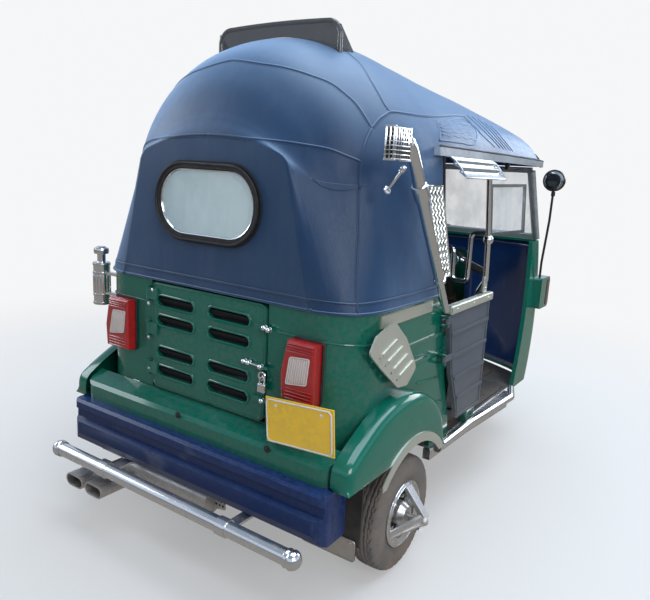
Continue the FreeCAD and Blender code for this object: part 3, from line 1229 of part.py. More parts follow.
def makeSteering():
    stem = rod("StemBar", s.columnRadius, s.columnTop - 322, (0, 0, 290), (0, 0, 1))
    crown = block("ForkCrown", (-s.forkSpread - 16, s.forkSpread + 16), (-22, 22), (268, 300))
    legs = []
    for side, sign in (("A", -1), ("B", 1)):
        x = s.forkSpread * sign
        legs.append(rod("ForkLeg" + side, s.forkRadius, 300, (x, 0, -20), (0, 0, 1)))
        legs.append(rod("ForkDamper" + side, 18, 120, (x, 0, 70), (0, 0, 1)))
    axle = rod("FrontAxle", s.axleBore - s.runningGap, s.forkSpread * 2 + 40, (-s.forkSpread - 20, 0, 0),
               (1, 0, 0))
    keep("front_fork", steered(group("FrontForkSet", fuse("FrontFork", crown, stem, axle, *legs))))
    # Domed mudguard with turned-down sides, drawn as axial place and radius.
    high = s.guardRadius
    guard = turned("GuardBand", "front", [
        (-s.guardHalf, high - 40), (-s.guardHalf, high - 14), (-40, high), (40, high),
        (s.guardHalf, high - 14),
        (s.guardHalf, high - 40), (s.guardHalf - 4, high - 40), (s.guardHalf - 4, high - 17), (38, high - 4),
        (-38, high - 4), (4 - s.guardHalf, high - 17), (4 - s.guardHalf, high - 40)], "H_Axis", 170)
    guard.Placement = Placement(Vector(0, float(s.frontAxleY), float(s.tyreRadius)),
                                Rotation(Vector(1, 0, 0), -80))
    stays = [steered(group("GuardStay" + side, block("GuardStayBar" + side, span, (-12, 12), (204, 220))))
             for side, span in (("A", (-72, -57)), ("B", (57, 72)))]
    keep("front_mudguard", cut("FrontMudguard", fuse("GuardWelded", guard, *stays), pieces["front_fork"]))
    bar = tube("HandlebarTube", [(0, 0, s.columnTop - 14), (118, -10, s.columnTop - 14), (160, -110, 930),
                                 (230, -205, 950), (350, -258, 950)], 11, 26)
    other = mirrored("HandlebarOther", bar)
    clamp = block("HandlebarClamp", (-40, 40), (-26, 26), (s.columnTop - 32, s.columnTop + 6))
    keep("handlebar", steered(group("HandlebarSet", fuse("Handlebar", bar, other, clamp))))


def build():
    derive()
    makeWheels()
    makeChassis()
    makeFloor()
    makeRearAxle()
    makeEngine()
    makeExhaust()
    makeSidePanels()
    crescent = makeFenderPair()
    makeWheelHousings()
    makeRearPanel()
    makeLip()
    makeBumper()
    makeRearBar()
    makeEngineDoor()
    makeTailLamps([pieces["rear_panel"], pieces["side_panels"]])
    makePlate()
    makeFlaps()
    makeSteps()
    makeSeats()
    makeHood()
    makeRearWindow()
    makeBows()
    makeSpoiler()
    makeGutters()
    makeStacks()
    makeFlankTrims(crescent)
    makeCanister(pieces["side_panels"])
    makeHalfDoors()
    makeCowl()
    makeNose()
    makeScreen()
    makeCabRails()
    makeLamps()
    makeMirrors()
    makeSteering()


def report(obj):
    bad = [state for state in obj.State if state in ("Invalid", "Error")]
    return bool(bad)


build()
doc.recompute()
failed = [obj.Name for obj in doc.Objects if report(obj)]
for node, piece in pieces.items():
    if piece.Shape.isNull() or not piece.Shape.isValid():
        failed.append(node)
if failed:
    raise RuntimeError("not built: " + ", ".join(failed))
os.makedirs("parts", exist_ok=True)
for node, piece in pieces.items():
    piece.Shape.exportStep(os.path.join("parts", node + ".step"))
print(len(pieces), "pieces written")
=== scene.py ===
import math

import bmesh
import bpy
from mathutils import Matrix, Vector, noise
from mathutils.bvhtree import BVHTree


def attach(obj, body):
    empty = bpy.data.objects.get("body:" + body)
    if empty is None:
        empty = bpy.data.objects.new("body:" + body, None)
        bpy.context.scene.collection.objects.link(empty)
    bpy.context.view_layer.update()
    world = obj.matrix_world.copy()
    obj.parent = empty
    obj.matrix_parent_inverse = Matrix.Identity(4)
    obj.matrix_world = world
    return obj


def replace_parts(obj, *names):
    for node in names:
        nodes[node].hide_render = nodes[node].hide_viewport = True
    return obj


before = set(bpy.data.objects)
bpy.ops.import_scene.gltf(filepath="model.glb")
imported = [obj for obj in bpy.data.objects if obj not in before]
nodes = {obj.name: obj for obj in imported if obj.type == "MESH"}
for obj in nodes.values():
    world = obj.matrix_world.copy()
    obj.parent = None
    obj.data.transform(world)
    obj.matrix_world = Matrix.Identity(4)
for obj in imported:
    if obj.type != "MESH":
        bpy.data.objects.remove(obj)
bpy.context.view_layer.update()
mm = 0.001


def link(obj):
    bpy.context.scene.collection.objects.link(obj)
    return obj


# Shader helpers

def addNode(tree, kind, **settings):
    node = tree.nodes.new("ShaderNode" + kind)
    for key, value in settings.items():
        if key != "inputs":
            setattr(node, key, value)
    for name, given in settings.get("inputs", {}).items():
        if isinstance(given, bpy.types.NodeSocket):
            tree.links.new(given, node.inputs[name])
        else:
            node.inputs[name].default_value = given
    return node


def mathNode(tree, operation, *values, clamp=False):
    inputs = dict(enumerate(values))
    return addNode(tree, "Math", operation=operation, use_clamp=clamp, inputs=inputs).outputs[0]


def remap(tree, value, low=0.0, high=1.0, toLow=0.0, toHigh=1.0):
    inputs = {"Value": value, "From Min": low, "From Max": high, "To Min": toLow, "To Max": toHigh}
    return addNode(tree, "MapRange", inputs=inputs).outputs["Result"]


def mixColour(tree, share, first, second):
    given = [value if isinstance(value, bpy.types.NodeSocket) else (*value, 1) for value in (first, second)]
    return addNode(tree, "Mix", data_type="RGBA", inputs={0: share, 6: given[0], 7: given[1]}).outputs[2]


def places(tree, stretch=None):
    # Object coordinates; every piece's object sits at the vehicle's origin, so they are places on it.
    where = addNode(tree, "TexCoord").outputs["Object"]
    if stretch is None:
        return where
    return addNode(tree, "Mapping", inputs={"Vector": where, "Scale": stretch}).outputs["Vector"]


def cloudNoise(tree, scale, detail, rough=0.5, stretch=None, where=None, distortion=0.0):
    inputs = {"Vector": where or places(tree, stretch), "Scale": scale, "Detail": detail, "Roughness": rough,
              "Distortion": distortion}
    return addNode(tree, "TexNoise", inputs=inputs).outputs["Fac"]


def startMaterial(name, **sockets):
    mat = bpy.data.materials.new(name)
    mat.use_nodes = True
    shader = mat.node_tree.nodes["Principled BSDF"]
    for label, value in sockets.items():
        shader.inputs[label.replace("_", " ")].default_value = value
    return mat, mat.node_tree, shader


# Camera, floor and light

cameraSettings = {"place": (1.504, -2.686, 1.387), "yaw": 34.1, "pitch": 11.8, "roll": 3.01,
                  "focal": 631.0, "imageWidth": 650.0, "sensor": 36.0}


def makeCamera(settings):
    yaw, pitch, roll = (math.radians(settings[key]) for key in ("yaw", "pitch", "roll"))
    forward = Vector((-math.sin(yaw) * math.cos(pitch), math.cos(yaw) * math.cos(pitch), -math.sin(pitch)))
    level = Vector((math.cos(yaw), math.sin(yaw), 0.0))
    above = level.cross(forward)
    right = level * math.cos(roll) + above * math.sin(roll)
    up = above * math.cos(roll) - level * math.sin(roll)
    data = bpy.data.cameras.new("photoCamera")
    data.sensor_fit = "HORIZONTAL"
    data.sensor_width = settings["sensor"]
    data.lens = settings["focal"] / settings["imageWidth"] * settings["sensor"]
    data.clip_start = 0.05
    data.clip_end = 200
    camera = link(bpy.data.objects.new("photoCamera", data))
    turn = Matrix((right, up, -forward)).transposed().to_4x4()
    camera.matrix_world = Matrix.Translation(Vector(settings["place"])) @ turn
    bpy.context.scene.camera = camera


# name, place, aim, size across and up, watts, colour
lampTable = (
    ("skyLamp", (0.9, 0.2, 5.2), (0, 0, 0.6), (5.2, 4.6), 330, (0.76, 0.88, 1.0)),
    ("keyLamp", (4.4, -3.2, 3.2), (0, -0.2, 0.9), (2.4, 2.2), 105, (1.0, 0.98, 0.95)),
    ("leftLamp", (-4.2, -2.4, 2.6), (0, -0.4, 0.8), (2.4, 2.2), 60, (0.90, 0.95, 1.0)),
    ("frontLamp", (1.8, 4.6, 2.8), (0, 0.6, 0.9), (3.0, 2.0), 80, (0.95, 0.98, 1.0)),
)


def makeLamps():
    for name, place, aim, size, watts, colour in lampTable:
        data = bpy.data.lights.new(name, "AREA")
        data.shape = "RECTANGLE"
        data.size, data.size_y = size
        data.energy = watts
        data.color = colour
        lamp = link(bpy.data.objects.new(name, data))
        lamp.location = place
        lamp.rotation_euler = (Vector(aim) - Vector(place)).to_track_quat("-Z", "Y").to_euler()


studio = {
    "floor": (0.62, 0.61, 0.60), "white": (0.92, 0.925, 0.935, 1), "lift": 0.36, "near": 1.2, "far": 4.6,
    "air": (0.66, 0.80, 1.0, 1), "airStrength": 0.42, "steps": 96, "drop": 0.0005,
    # radius and height of the floor and the backdrop that it runs up into
    "rings": ((9.0, 0.0), (11.0, 0.12), (12.6, 0.9), (13.4, 2.6), (13.8, 9.0)),
    # share of the backdrop's height and the colour that glossy parts mirror there: ground, far edge, open sky
    "mirrored": ((0.0, (0.30, 0.285, 0.265)), (0.012, (0.09, 0.10, 0.10)), (0.16, (0.16, 0.18, 0.19)),
                 (0.30, (0.58, 0.68, 0.82)), (1.0, (0.66, 0.76, 0.90))),
}


def stageMaterial(settings):
    # Matt surface that keeps its shadows. The camera's own rays see it fade to white far from the vehicle,
    # and glossy parts mirror it darker and bluer, like ground and open shade.
    mat, tree, shader = startMaterial("studioFloor", Roughness=0.9, Specular_IOR_Level=0.1,
                                      Base_Color=(*settings["floor"], 1))
    where = places(tree)
    reach = addNode(tree, "VectorMath", operation="LENGTH", inputs={0: where}).outputs["Value"]
    fade = addNode(tree, "MapRange", interpolation_type="SMOOTHSTEP",
                   inputs={"Value": reach, "From Min": settings["near"], "From Max": settings["far"],
                           "To Min": settings["lift"]}).outputs["Result"]
    path = addNode(tree, "LightPath").outputs
    white = addNode(tree, "Emission", inputs={"Color": settings["white"]}).outputs[0]
    seen = addNode(tree, "MixShader", inputs={0: mathNode(tree, "MULTIPLY", path["Is Camera Ray"], fade),
                                              1: shader.outputs["BSDF"], 2: white}).outputs[0]
    height = addNode(tree, "SeparateXYZ", inputs={"Vector": where}).outputs["Z"]
    share = mathNode(tree, "DIVIDE", height, settings["rings"][-1][1])
    ramp = addNode(tree, "ValToRGB", inputs={"Fac": share})
    bands = ramp.color_ramp.elements
    for number, (at, shade) in enumerate(settings["mirrored"]):
        band = bands[0] if number == 0 else bands[-1] if at == 1.0 else bands.new(at)
        band.position = at
        band.color = (*shade, 1)
    mirrored = addNode(tree, "Emission", inputs={"Color": ramp.outputs["Color"]}).outputs[0]
    final = addNode(tree, "MixShader", inputs={0: path["Is Glossy Ray"], 1: seen, 2: mirrored})
    tree.links.new(final.outputs[0], tree.nodes["Material Output"].inputs["Surface"])
    return mat


def makeStage(settings):
    # A pale floor that runs up into a backdrop on all sides, white to the camera's own rays.
    count = settings["steps"]
    drop = settings["drop"]
    verts = [(0.0, 0.0, -drop)]
    for radius, height in settings["rings"]:
        for number in range(count):
            angle = number / count * math.tau
            verts.append((radius * math.cos(angle), radius * math.sin(angle), height - drop))
    faces = [(0, 1 + number, 1 + (number + 1) % count) for number in range(count)]
    for ring in range(len(settings["rings"]) - 1):
        low = 1 + ring * count
        for number in range(count):
            following = (number + 1) % count
            faces.append((low + number, low + count + number, low + count + following, low + following))
    mesh = bpy.data.meshes.new("studioFloor")
    mesh.from_pydata(verts, [], faces)
    mesh.shade_smooth()
    mesh.materials.append(stageMaterial(settings))
    link(bpy.data.objects.new("studioFloor", mesh))
    world = bpy.data.worlds.new("studio")
    bpy.context.scene.world = world
    world.use_nodes = True
    back = world.node_tree.nodes["Background"]
    back.inputs["Color"].default_value = settings["air"]
    back.inputs["Strength"].default_value = settings["airStrength"]
    bpy.context.scene.view_settings.view_transform = "Standard"




# Shader groups: effects that several finishes share

def newGroup(name, inputs, output):
    group = bpy.data.node_groups.new(name, "ShaderNodeTree")
    for label, default in inputs:
        socket = group.interface.new_socket(label, in_out="INPUT", socket_type="NodeSocketFloat")
        socket.default_value = default
    group.interface.new_socket(output, in_out="OUTPUT", socket_type="NodeSocketFloat")
    return group, group.nodes.new("NodeGroupInput").outputs, group.nodes.new("NodeGroupOutput").inputs[output]


def buildDustGroup():
    # Dust and dried mud: a mask that is thick near the ground and thins out above.
    group, given, mask = newGroup("dust", [("Amount", 0.5), ("Top", 0.9), ("Grain", 14.0)], "Mask")
    height = addNode(group, "SeparateXYZ", inputs={"Vector": places(group)}).outputs["Z"]
    fade = mathNode(group, "SUBTRACT", 1.0, mathNode(group, "DIVIDE", height, given["Top"]), clamp=True)
    grain = cloudNoise(group, given["Grain"], 8.0, 0.68)
    grit = mathNode(group, "MULTIPLY", cloudNoise(group, 3.1, 4.0), grain)
    settled = mathNode(group, "MULTIPLY", remap(group, grit, 0.14, 0.42),
                       mathNode(group, "MULTIPLY_ADD", fade, 1.25, 0.03))
    group.links.new(mathNode(group, "MULTIPLY", settled, given["Amount"], clamp=True), mask)
    return group


def buildScratchGroup():
    # Fine hair scratches in several directions.
    group, given, mask = newGroup("scratches", [("Scale", 1.0)], "Mask")
    lines = []
    for turn in ((0.3, 0.2, 0.9), (1.2, 0.5, -0.7), (0.1, 1.4, 0.4)):
        where = addNode(group, "Mapping", inputs={"Vector": places(group), "Rotation": turn,
                                                  "Scale": (6.0, 190.0, 6.0)}).outputs["Vector"]
        wide = addNode(group, "VectorMath", operation="SCALE", inputs={0: where, "Scale": given["Scale"]})
        lines.append(remap(group, cloudNoise(group, 1.0, 2.0, where=wide.outputs["Vector"]), 0.69, 0.75))
    crossed = mathNode(group, "MAXIMUM", mathNode(group, "MAXIMUM", lines[0], lines[1]), lines[2])
    group.links.new(crossed, mask)
    return group


def buildGrainGroup():
    # Leathery grain of coated cloth with a faint weave under it, as a height.
    group, given, height = newGroup("vinylGrain", [("Scale", 260.0), ("Weave", 0.3)], "Height")
    cells = addNode(group, "TexVoronoi", feature="DISTANCE_TO_EDGE",
                    inputs={"Vector": places(group), "Scale": given["Scale"], "Randomness": 0.9})
    waves = [addNode(group, "TexWave", bands_direction=axis,
                     inputs={"Vector": places(group), "Scale": 190.0, "Distortion": 0.6}).outputs["Fac"]
             for axis in "XYZ"]
    threads = mathNode(group, "ADD", mathNode(group, "ADD", waves[0], waves[1]), waves[2])
    woven = mathNode(group, "MULTIPLY", mathNode(group, "MULTIPLY", threads, given["Weave"]), 0.33)
    group.links.new(mathNode(group, "ADD", remap(group, cells.outputs["Distance"], 0.0, 0.25), woven), height)
    return group


def buildWearGroup():
    # Worn and chipped edges, from the surface's own sharpness broken up by noise.
    group, given, mask = newGroup("edgeWear", [("Spread", 0.5)], "Mask")
    sharp = remap(group, addNode(group, "NewGeometry").outputs["Pointiness"], 0.53, 0.62)
    chips = mathNode(group, "MULTIPLY", sharp, remap(group, cloudNoise(group, 55.0, 6.0), 0.62, 0.42))
    group.links.new(mathNode(group, "MULTIPLY", chips, given["Spread"], clamp=True), mask)
    return group


def buildWavesGroup():
    # Slow waviness of pressed sheet, as a height.
    group, given, height = newGroup("sheetWaves", [("Scale", 2.6)], "Height")
    group.links.new(cloudNoise(group, given["Scale"], 1.0), height)
    return group


def buildPaintedSheenGroup():
    # Painted sky sheen: a mask that lightens cloth where it looks up, standing in for the sky's light on its
    # top.
    group, given, mask = newGroup("paintedTopSheen", [("Amount", 0.7)], "Mask")
    upward = addNode(group, "SeparateXYZ", inputs={"Vector": addNode(group, "NewGeometry").outputs["Normal"]})
    lit = remap(group, upward.outputs["Z"], 0.30, 1.0)
    group.links.new(mathNode(group, "MULTIPLY", lit, given["Amount"]), mask)
    return group


groups = {"dust": buildDustGroup(), "scratches": buildScratchGroup(), "grain": buildGrainGroup(),
          "wear": buildWearGroup(), "waves": buildWavesGroup(), "fade": buildPaintedSheenGroup()}


def useGroup(tree, name, **values):
    return addNode(tree, "Group", node_tree=groups[name], inputs=values).outputs[0]


# Materials

dustColour = (0.27, 0.205, 0.155)


def bumpInto(tree, shader, height, strength, distance, below=None):
    bump = addNode(tree, "Bump", inputs={"Height": height, "Strength": strength, "Distance": distance})
    if below is not None:
        tree.links.new(below, bump.inputs["Normal"])
    tree.links.new(bump.outputs["Normal"], shader.inputs["Normal"])
    return bump.outputs["Normal"]


def dullBy(tree, shader, rough, dusty, share):
    # Roughness that rises with the dust.
    dull = mathNode(tree, "ADD", rough, mathNode(tree, "MULTIPLY", dusty, share), clamp=True)
    tree.links.new(dull, shader.inputs["Roughness"])


def paintMaterial(name, base, second, roughness=0.25, dust=0.5, dustTop=0.75, coat=0.5, wear=0.35,
                  wearColour=(0.16, 0.15, 0.14), waves=0.024, metallic=0.0, scratch=0.10):
    # Sprayed sheet: two close shades, hair scratches, dust towards the ground and worn edges.
    mat, tree, shader = startMaterial(name, Coat_Weight=coat, Coat_Roughness=0.08, Metallic=metallic,
                                      Specular_IOR_Level=0.25)
    cloud = cloudNoise(tree, 1.6, 3.0)
    hair = mathNode(tree, "MULTIPLY", useGroup(tree, "scratches", Scale=1.0), scratch)
    dusty = useGroup(tree, "dust", Amount=dust, Top=dustTop)
    colour = mixColour(tree, hair, mixColour(tree, cloud, base, second), (0.45, 0.45, 0.42))
    colour = mixColour(tree, useGroup(tree, "wear", Spread=wear), colour, wearColour)
    tree.links.new(mixColour(tree, dusty, colour, dustColour), shader.inputs["Base Color"])
    rough = remap(tree, cloudNoise(tree, 9.0, 6.0), 0.3, 0.7, roughness - 0.03, roughness + 0.05)
    dullBy(tree, shader, rough, dusty, 0.5)
    first = bumpInto(tree, shader, useGroup(tree, "waves", Scale=2.6), 0.5, waves)
    bumpInto(tree, shader, cloud, 0.08, 0.001, first)
    return mat


def chromeMaterial(name, base=(0.80, 0.81, 0.83), roughness=0.09, dust=0.35, dustTop=0.6, stain=0.3,
                   stainColour=(0.16, 0.10, 0.07), plating=1.0):
    # Plated metal with fine scratches, dull patches and brown specks.
    mat, tree, shader = startMaterial(name, Metallic=1.0)
    spots = remap(tree, cloudNoise(tree, 48.0, 9.0, 0.72), 0.60, 0.72, 0.0, stain)
    dusty = useGroup(tree, "dust", Amount=dust, Top=dustTop, Grain=20.0)
    colour = mixColour(tree, dusty, mixColour(tree, spots, base, stainColour), dustColour)
    tree.links.new(colour, shader.inputs["Base Color"])
    dull = cloudNoise(tree, 7.0, 5.0)
    hair = mathNode(tree, "MULTIPLY", useGroup(tree, "scratches", Scale=1.3), 0.10)
    rough = mathNode(tree, "ADD", remap(tree, dull, 0.35, 0.7, roughness, roughness + 0.12), hair)
    dullBy(tree, shader, rough, dusty, 0.6)
    plated = mathNode(tree, "SUBTRACT", plating, mathNode(tree, "MULTIPLY", dusty, 0.85), clamp=True)
    tree.links.new(plated, shader.inputs["Metallic"])
    bumpInto(tree, shader, dull, 0.10, 0.002)
    return mat


def clothMaterial(name, base, second, roughness=0.45, sheen=0.3, scale=260.0, dust=0.3, dustTop=1.6,
                  bump=0.35, creases=0.35, streaks=0.0, faded=0.0):
    # Coated cloth: leathery grain, soft creases, cloudy patches, a top lightened by painted sky sheen and
    # settled dust.
    mat, tree, shader = startMaterial(name, Sheen_Weight=sheen, Sheen_Roughness=0.45,
                                      Sheen_Tint=(0.48, 0.68, 1.0, 1), Specular_IOR_Level=0.32)
    cloud = cloudNoise(tree, 2.3, 6.0, 0.6)
    colour = mixColour(tree, remap(tree, cloud, 0.3, 0.7), base, second)
    if streaks:
        down = cloudNoise(tree, 1.0, 4.0, stretch=(22.0, 22.0, 1.3))
        colour = mixColour(tree, remap(tree, down, 0.52, 0.72, 0.0, streaks), colour, (0.20, 0.20, 0.21))
    # painted sky sheen: the colour goes towards a pale blue where the cloth looks up
    if faded:
        colour = mixColour(tree, useGroup(tree, "fade", Amount=faded), colour, (0.14, 0.23, 0.37))
    dusty = useGroup(tree, "dust", Amount=dust, Top=dustTop, Grain=9.0)
    tree.links.new(mixColour(tree, dusty, colour, (0.24, 0.20, 0.165)), shader.inputs["Base Color"])
    dullBy(tree, shader, remap(tree, cloud, 0.3, 0.7, roughness - 0.06, roughness + 0.10), dusty, 0.3)
    fold = cloudNoise(tree, 1.0, 3.0, stretch=(5.0, 5.0, 3.2), distortion=0.4)
    first = bumpInto(tree, shader, fold, creases, 0.012)
    bumpInto(tree, shader, useGroup(tree, "grain", Scale=scale), bump, 0.0006, first)
    return mat


def plasticMaterial(name, base, second, roughness=0.4, dust=0.45, dustTop=0.6, bump=0.12, scale=700.0,
                    wear=0.25):
    # Moulded plastic or rubber with a fine matt texture, scuffs and dust.
    mat, tree, shader = startMaterial(name, Specular_IOR_Level=0.35)
    cloud = cloudNoise(tree, 6.0, 6.0)
    hair = mathNode(tree, "MULTIPLY", useGroup(tree, "scratches", Scale=0.8), 0.16)
    colour = mixColour(tree, hair, mixColour(tree, cloud, base, second), (0.30, 0.30, 0.30))
    rubbed = tuple(min(1.0, channel * 2.5 + 0.03) for channel in second)
    colour = mixColour(tree, useGroup(tree, "wear", Spread=wear), colour, rubbed)
    dusty = useGroup(tree, "dust", Amount=dust, Top=dustTop)
    tree.links.new(mixColour(tree, dusty, colour, dustColour), shader.inputs["Base Color"])
    dullBy(tree, shader, remap(tree, cloud, 0.0, 1.0, roughness - 0.08, roughness + 0.12), dusty, 0.4)
    bumpInto(tree, shader, cloudNoise(tree, scale, 2.0), bump, 0.0008)
    return mat


def glassMaterial(name, base, roughness=0.03, alpha=0.35, dirt=0.25):
    # A thin pane: mostly see-through by alpha, with smears and dust that catch the light.
    mat, tree, shader = startMaterial(name, IOR=1.45, Specular_IOR_Level=0.8)
    smear = cloudNoise(tree, 1.0, 7.0, 0.65, stretch=(7.0, 7.0, 3.0))
    film = remap(tree, smear, 0.42, 0.75, 0.0, dirt)
    tree.links.new(mixColour(tree, film, base, (0.62, 0.62, 0.60)), shader.inputs["Base Color"])
    tree.links.new(mathNode(tree, "ADD", film, alpha, clamp=True), shader.inputs["Alpha"])
    dullBy(tree, shader, roughness, film, 0.7)
    return mat


def lensMaterial(name, base, second, pitch=95.0, roughness=0.12):
    # Moulded lamp lens: fine prisms across and down, deeper coloured between them, under a clear gloss.
    mat, tree, shader = startMaterial(name, Coat_Weight=0.8, Coat_Roughness=0.05)
    across, down = [addNode(tree, "TexWave", bands_direction=axis,
                            inputs={"Vector": places(tree), "Scale": pitch, "Distortion": 0.2}).outputs["Fac"]
                    for axis in "XZ"]
    prisms = mathNode(tree, "MULTIPLY", across, down)
    dusty = useGroup(tree, "dust", Amount=0.2, Top=1.2)
    colour = mixColour(tree, dusty, mixColour(tree, prisms, second, base), dustColour)
    tree.links.new(colour, shader.inputs["Base Color"])
    dullBy(tree, shader, roughness, dusty, 0.5)
    bumpInto(tree, shader, prisms, 0.35, 0.0015)
    return mat


# one maker for each kind; then finish, base colour, second shade and what departs from the maker's own values
finishTable = (
    (paintMaterial, (
        ("bodyGreen", (0.0020, 0.122, 0.082), (0.0030, 0.139, 0.095),
         {"roughness": 0.15, "coat": 0.75, "dust": 0.20, "dustTop": 0.5, "wear": 0.14, "scratch": 0.03}),
        ("frameBlack", (0.012, 0.012, 0.013), (0.022, 0.021, 0.021),
         {"roughness": 0.42, "coat": 0.1, "dust": 0.6, "wear": 0.5, "wearColour": (0.12, 0.07, 0.045)}),
        ("floorGrey", (0.055, 0.057, 0.058), (0.085, 0.086, 0.085),
         {"roughness": 0.55, "coat": 0.0, "dust": 0.9, "dustTop": 0.8}),
        ("plateYellow", (0.88, 0.50, 0.028), (0.92, 0.58, 0.045),
         {"roughness": 0.42, "coat": 0.1, "dust": 0.3, "dustTop": 0.9, "wear": 0.2, "scratch": 0.15}),
        ("paleEdge", (0.62, 0.62, 0.60), (0.72, 0.72, 0.70),
         {"roughness": 0.34, "coat": 0.2, "dust": 0.25, "dustTop": 1.0, "wear": 0.2, "scratch": 0.2}),
        ("eaveWhite", (0.46, 0.50, 0.55), (0.58, 0.62, 0.67),
         {"roughness": 0.16, "coat": 0.4, "dust": 0.2, "dustTop": 1.2, "wear": 0.25, "metallic": 0.55}),
        ("engineMetal", (0.16, 0.16, 0.165), (0.24, 0.235, 0.23),
         {"roughness": 0.5, "coat": 0.0, "dust": 0.9, "metallic": 0.7}),
        ("navyPanel", (0.0030, 0.030, 0.130), (0.0060, 0.042, 0.170),
         {"roughness": 0.2, "dust": 0.15, "dustTop": 0.6, "coat": 0.8, "scratch": 0.03}))),
    (clothMaterial, (
        # the hood's cloth gets a painted sky sheen on its top
        ("hoodVinyl", (0.0040, 0.0280, 0.082), (0.0075, 0.039, 0.102),
         {"roughness": 0.34, "sheen": 0.75, "streaks": 0.05, "dust": 0.10, "dustTop": 1.5, "faded": 0.72}),
        ("hoodWelt", (0.0045, 0.0285, 0.082), (0.0080, 0.040, 0.103),
         {"roughness": 0.34, "sheen": 0.75, "dust": 0.12, "creases": 0.1, "faded": 0.72}),
        ("stitchThread", (0.012, 0.013, 0.018), (0.03, 0.032, 0.04),
         {"roughness": 0.6, "sheen": 0.2, "scale": 900.0, "creases": 0.0}),
        ("seatVinyl", (0.030, 0.030, 0.034), (0.052, 0.052, 0.058),
         {"roughness": 0.38, "sheen": 0.1, "scale": 330.0, "creases": 0.25}),
        ("pipingGrey", (0.20, 0.20, 0.21), (0.30, 0.30, 0.31),
         {"roughness": 0.5, "sheen": 0.1, "scale": 600.0, "creases": 0.0}),
        ("doorGrey", (0.074, 0.086, 0.105), (0.098, 0.112, 0.134),
         {"roughness": 0.46, "sheen": 0.05, "scale": 380.0, "dust": 0.5, "dustTop": 0.9, "creases": 0.15}))),
    (plasticMaterial, (
        ("bumperNavy", (0.0040, 0.018, 0.080), (0.0070, 0.026, 0.102),
         {"roughness": 0.27, "dust": 0.22, "dustTop": 0.42}),
        ("tyreRubber", (0.098, 0.092, 0.090), (0.160, 0.148, 0.142),
         {"roughness": 0.72, "dust": 0.75, "dustTop": 1.2, "bump": 0.3, "scale": 420.0, "wear": 0.2}),
        ("blackRubber", (0.010, 0.010, 0.011), (0.020, 0.020, 0.021), {"roughness": 0.55, "dust": 0.4}),
        ("mirrorBlack", (0.012, 0.012, 0.013), (0.02, 0.02, 0.022), {"roughness": 0.3, "dust": 0.2}),
        # painted shade: a dark fill for slots, holes and hollows that show only shade
        ("voidBlack", (0.004, 0.004, 0.006), (0.008, 0.008, 0.012),
         {"roughness": 0.75, "dust": 0.25, "wear": 0.0}),
        ("matRubber", (0.030, 0.031, 0.034), (0.050, 0.050, 0.052),
         {"roughness": 0.6, "dust": 0.6, "dustTop": 1.2}))),
    (lensMaterial, (
        ("lampRed", (0.62, 0.008, 0.012), (0.34, 0.003, 0.006), {"roughness": 0.09}),
        ("lampDeep", (0.20, 0.012, 0.010), (0.06, 0.004, 0.004), {}),
        ("lensWhite", (0.80, 0.74, 0.70), (0.52, 0.40, 0.36), {}),
        ("lensClear", (0.88, 0.84, 0.82), (0.66, 0.56, 0.53), {}),
        ("dialTeal", (0.10, 0.42, 0.44), (0.03, 0.20, 0.22), {"pitch": 20.0}),
        ("lampGlass", (0.72, 0.75, 0.76), (0.46, 0.49, 0.50), {"pitch": 38.0, "roughness": 0.08}))),
)
# plated metals and panes have one base colour
platedTable = (
    (chromeMaterial, (
        ("chrome", (0.80, 0.81, 0.83), {}),
        ("dirtyChrome", (0.74, 0.74, 0.75), {"roughness": 0.14, "dust": 0.7, "dustTop": 0.62, "stain": 0.6}),
        ("champagne", (0.68, 0.70, 0.62), {"roughness": 0.28, "dust": 0.25, "plating": 0.72}),
        ("exhaustMetal", (0.62, 0.61, 0.60),
         {"roughness": 0.2, "dust": 0.75, "dustTop": 0.5, "stain": 0.7, "stainColour": (0.09, 0.06, 0.05)}),
        ("mirrorGlass", (0.42, 0.45, 0.48), {"roughness": 0.04, "stain": 0.05, "dust": 0.25, "dustTop": 2.0}),
        ("brushedSilver", (0.58, 0.56, 0.53), {"roughness": 0.3, "dust": 0.6}))),
    (glassMaterial, (
        ("clearGlass", (0.55, 0.62, 0.66), {"alpha": 0.16, "dirt": 0.22}),
        ("windowGlass", (0.66, 0.80, 0.82), {"alpha": 0.74, "dirt": 0.3, "roughness": 0.06}),
        ("smokeTint", (0.030, 0.033, 0.038), {"alpha": 0.80, "dirt": 0.12, "roughness": 0.05}))),
)
finishes = {name: maker(name, *colours, **values)
            for maker, rows in finishTable + platedTable for name, *colours, values in rows}

# CAD nodes by finish
nodeFinish = {
    "bodyGreen": "side_panels fenders rear_panel rear_lip engine_door engine_door_fittings seat_base "
                 "driver_seat_base front_cowl front_nose door_posts indicators front_mudguard",
    "frameBlack": "chassis_frame rear_arms wheel_housings hood_bows front_fork handlebar",
    "floorGrey": "floor_pan", "engineMetal": "engine_block", "exhaustMetal": "exhaust",
    "champagne": "flank_trims",
    "tyreRubber": "rear_tyre_left rear_tyre_right front_tyre",
    "dirtyChrome": "rear_rim_left rear_rim_right front_rim", "bumperNavy": "rear_bumper",
    "chrome": "rear_bar side_steps side_stacks canister cab_rails headlamps", "lampRed": "tail_lamps",
    "plateYellow": "number_plate", "blackRubber": "mud_flaps window_rubber",
    "seatVinyl": "passenger_seat passenger_backrest driver_seat", "hoodVinyl": "hood_back hood_top",
    "windowGlass": "rear_window", "smokeTint": "roof_spoiler", "eaveWhite": "eave_trims windscreen_frame",
    "doorGrey": "half_door_left half_door_right", "clearGlass": "windscreen quarter_glass",
    "navyPanel": "front_header", "mirrorBlack": "mirrors",
}
for finish, names in nodeFinish.items():
    for name in names.split():
        nodes[name].data.materials.clear()
        nodes[name].data.materials.append(finishes[finish])
print("materials ready")
makeCamera(cameraSettings)
makeLamps()
makeStage(studio)
print("camera and studio ready")


# Mesh helpers

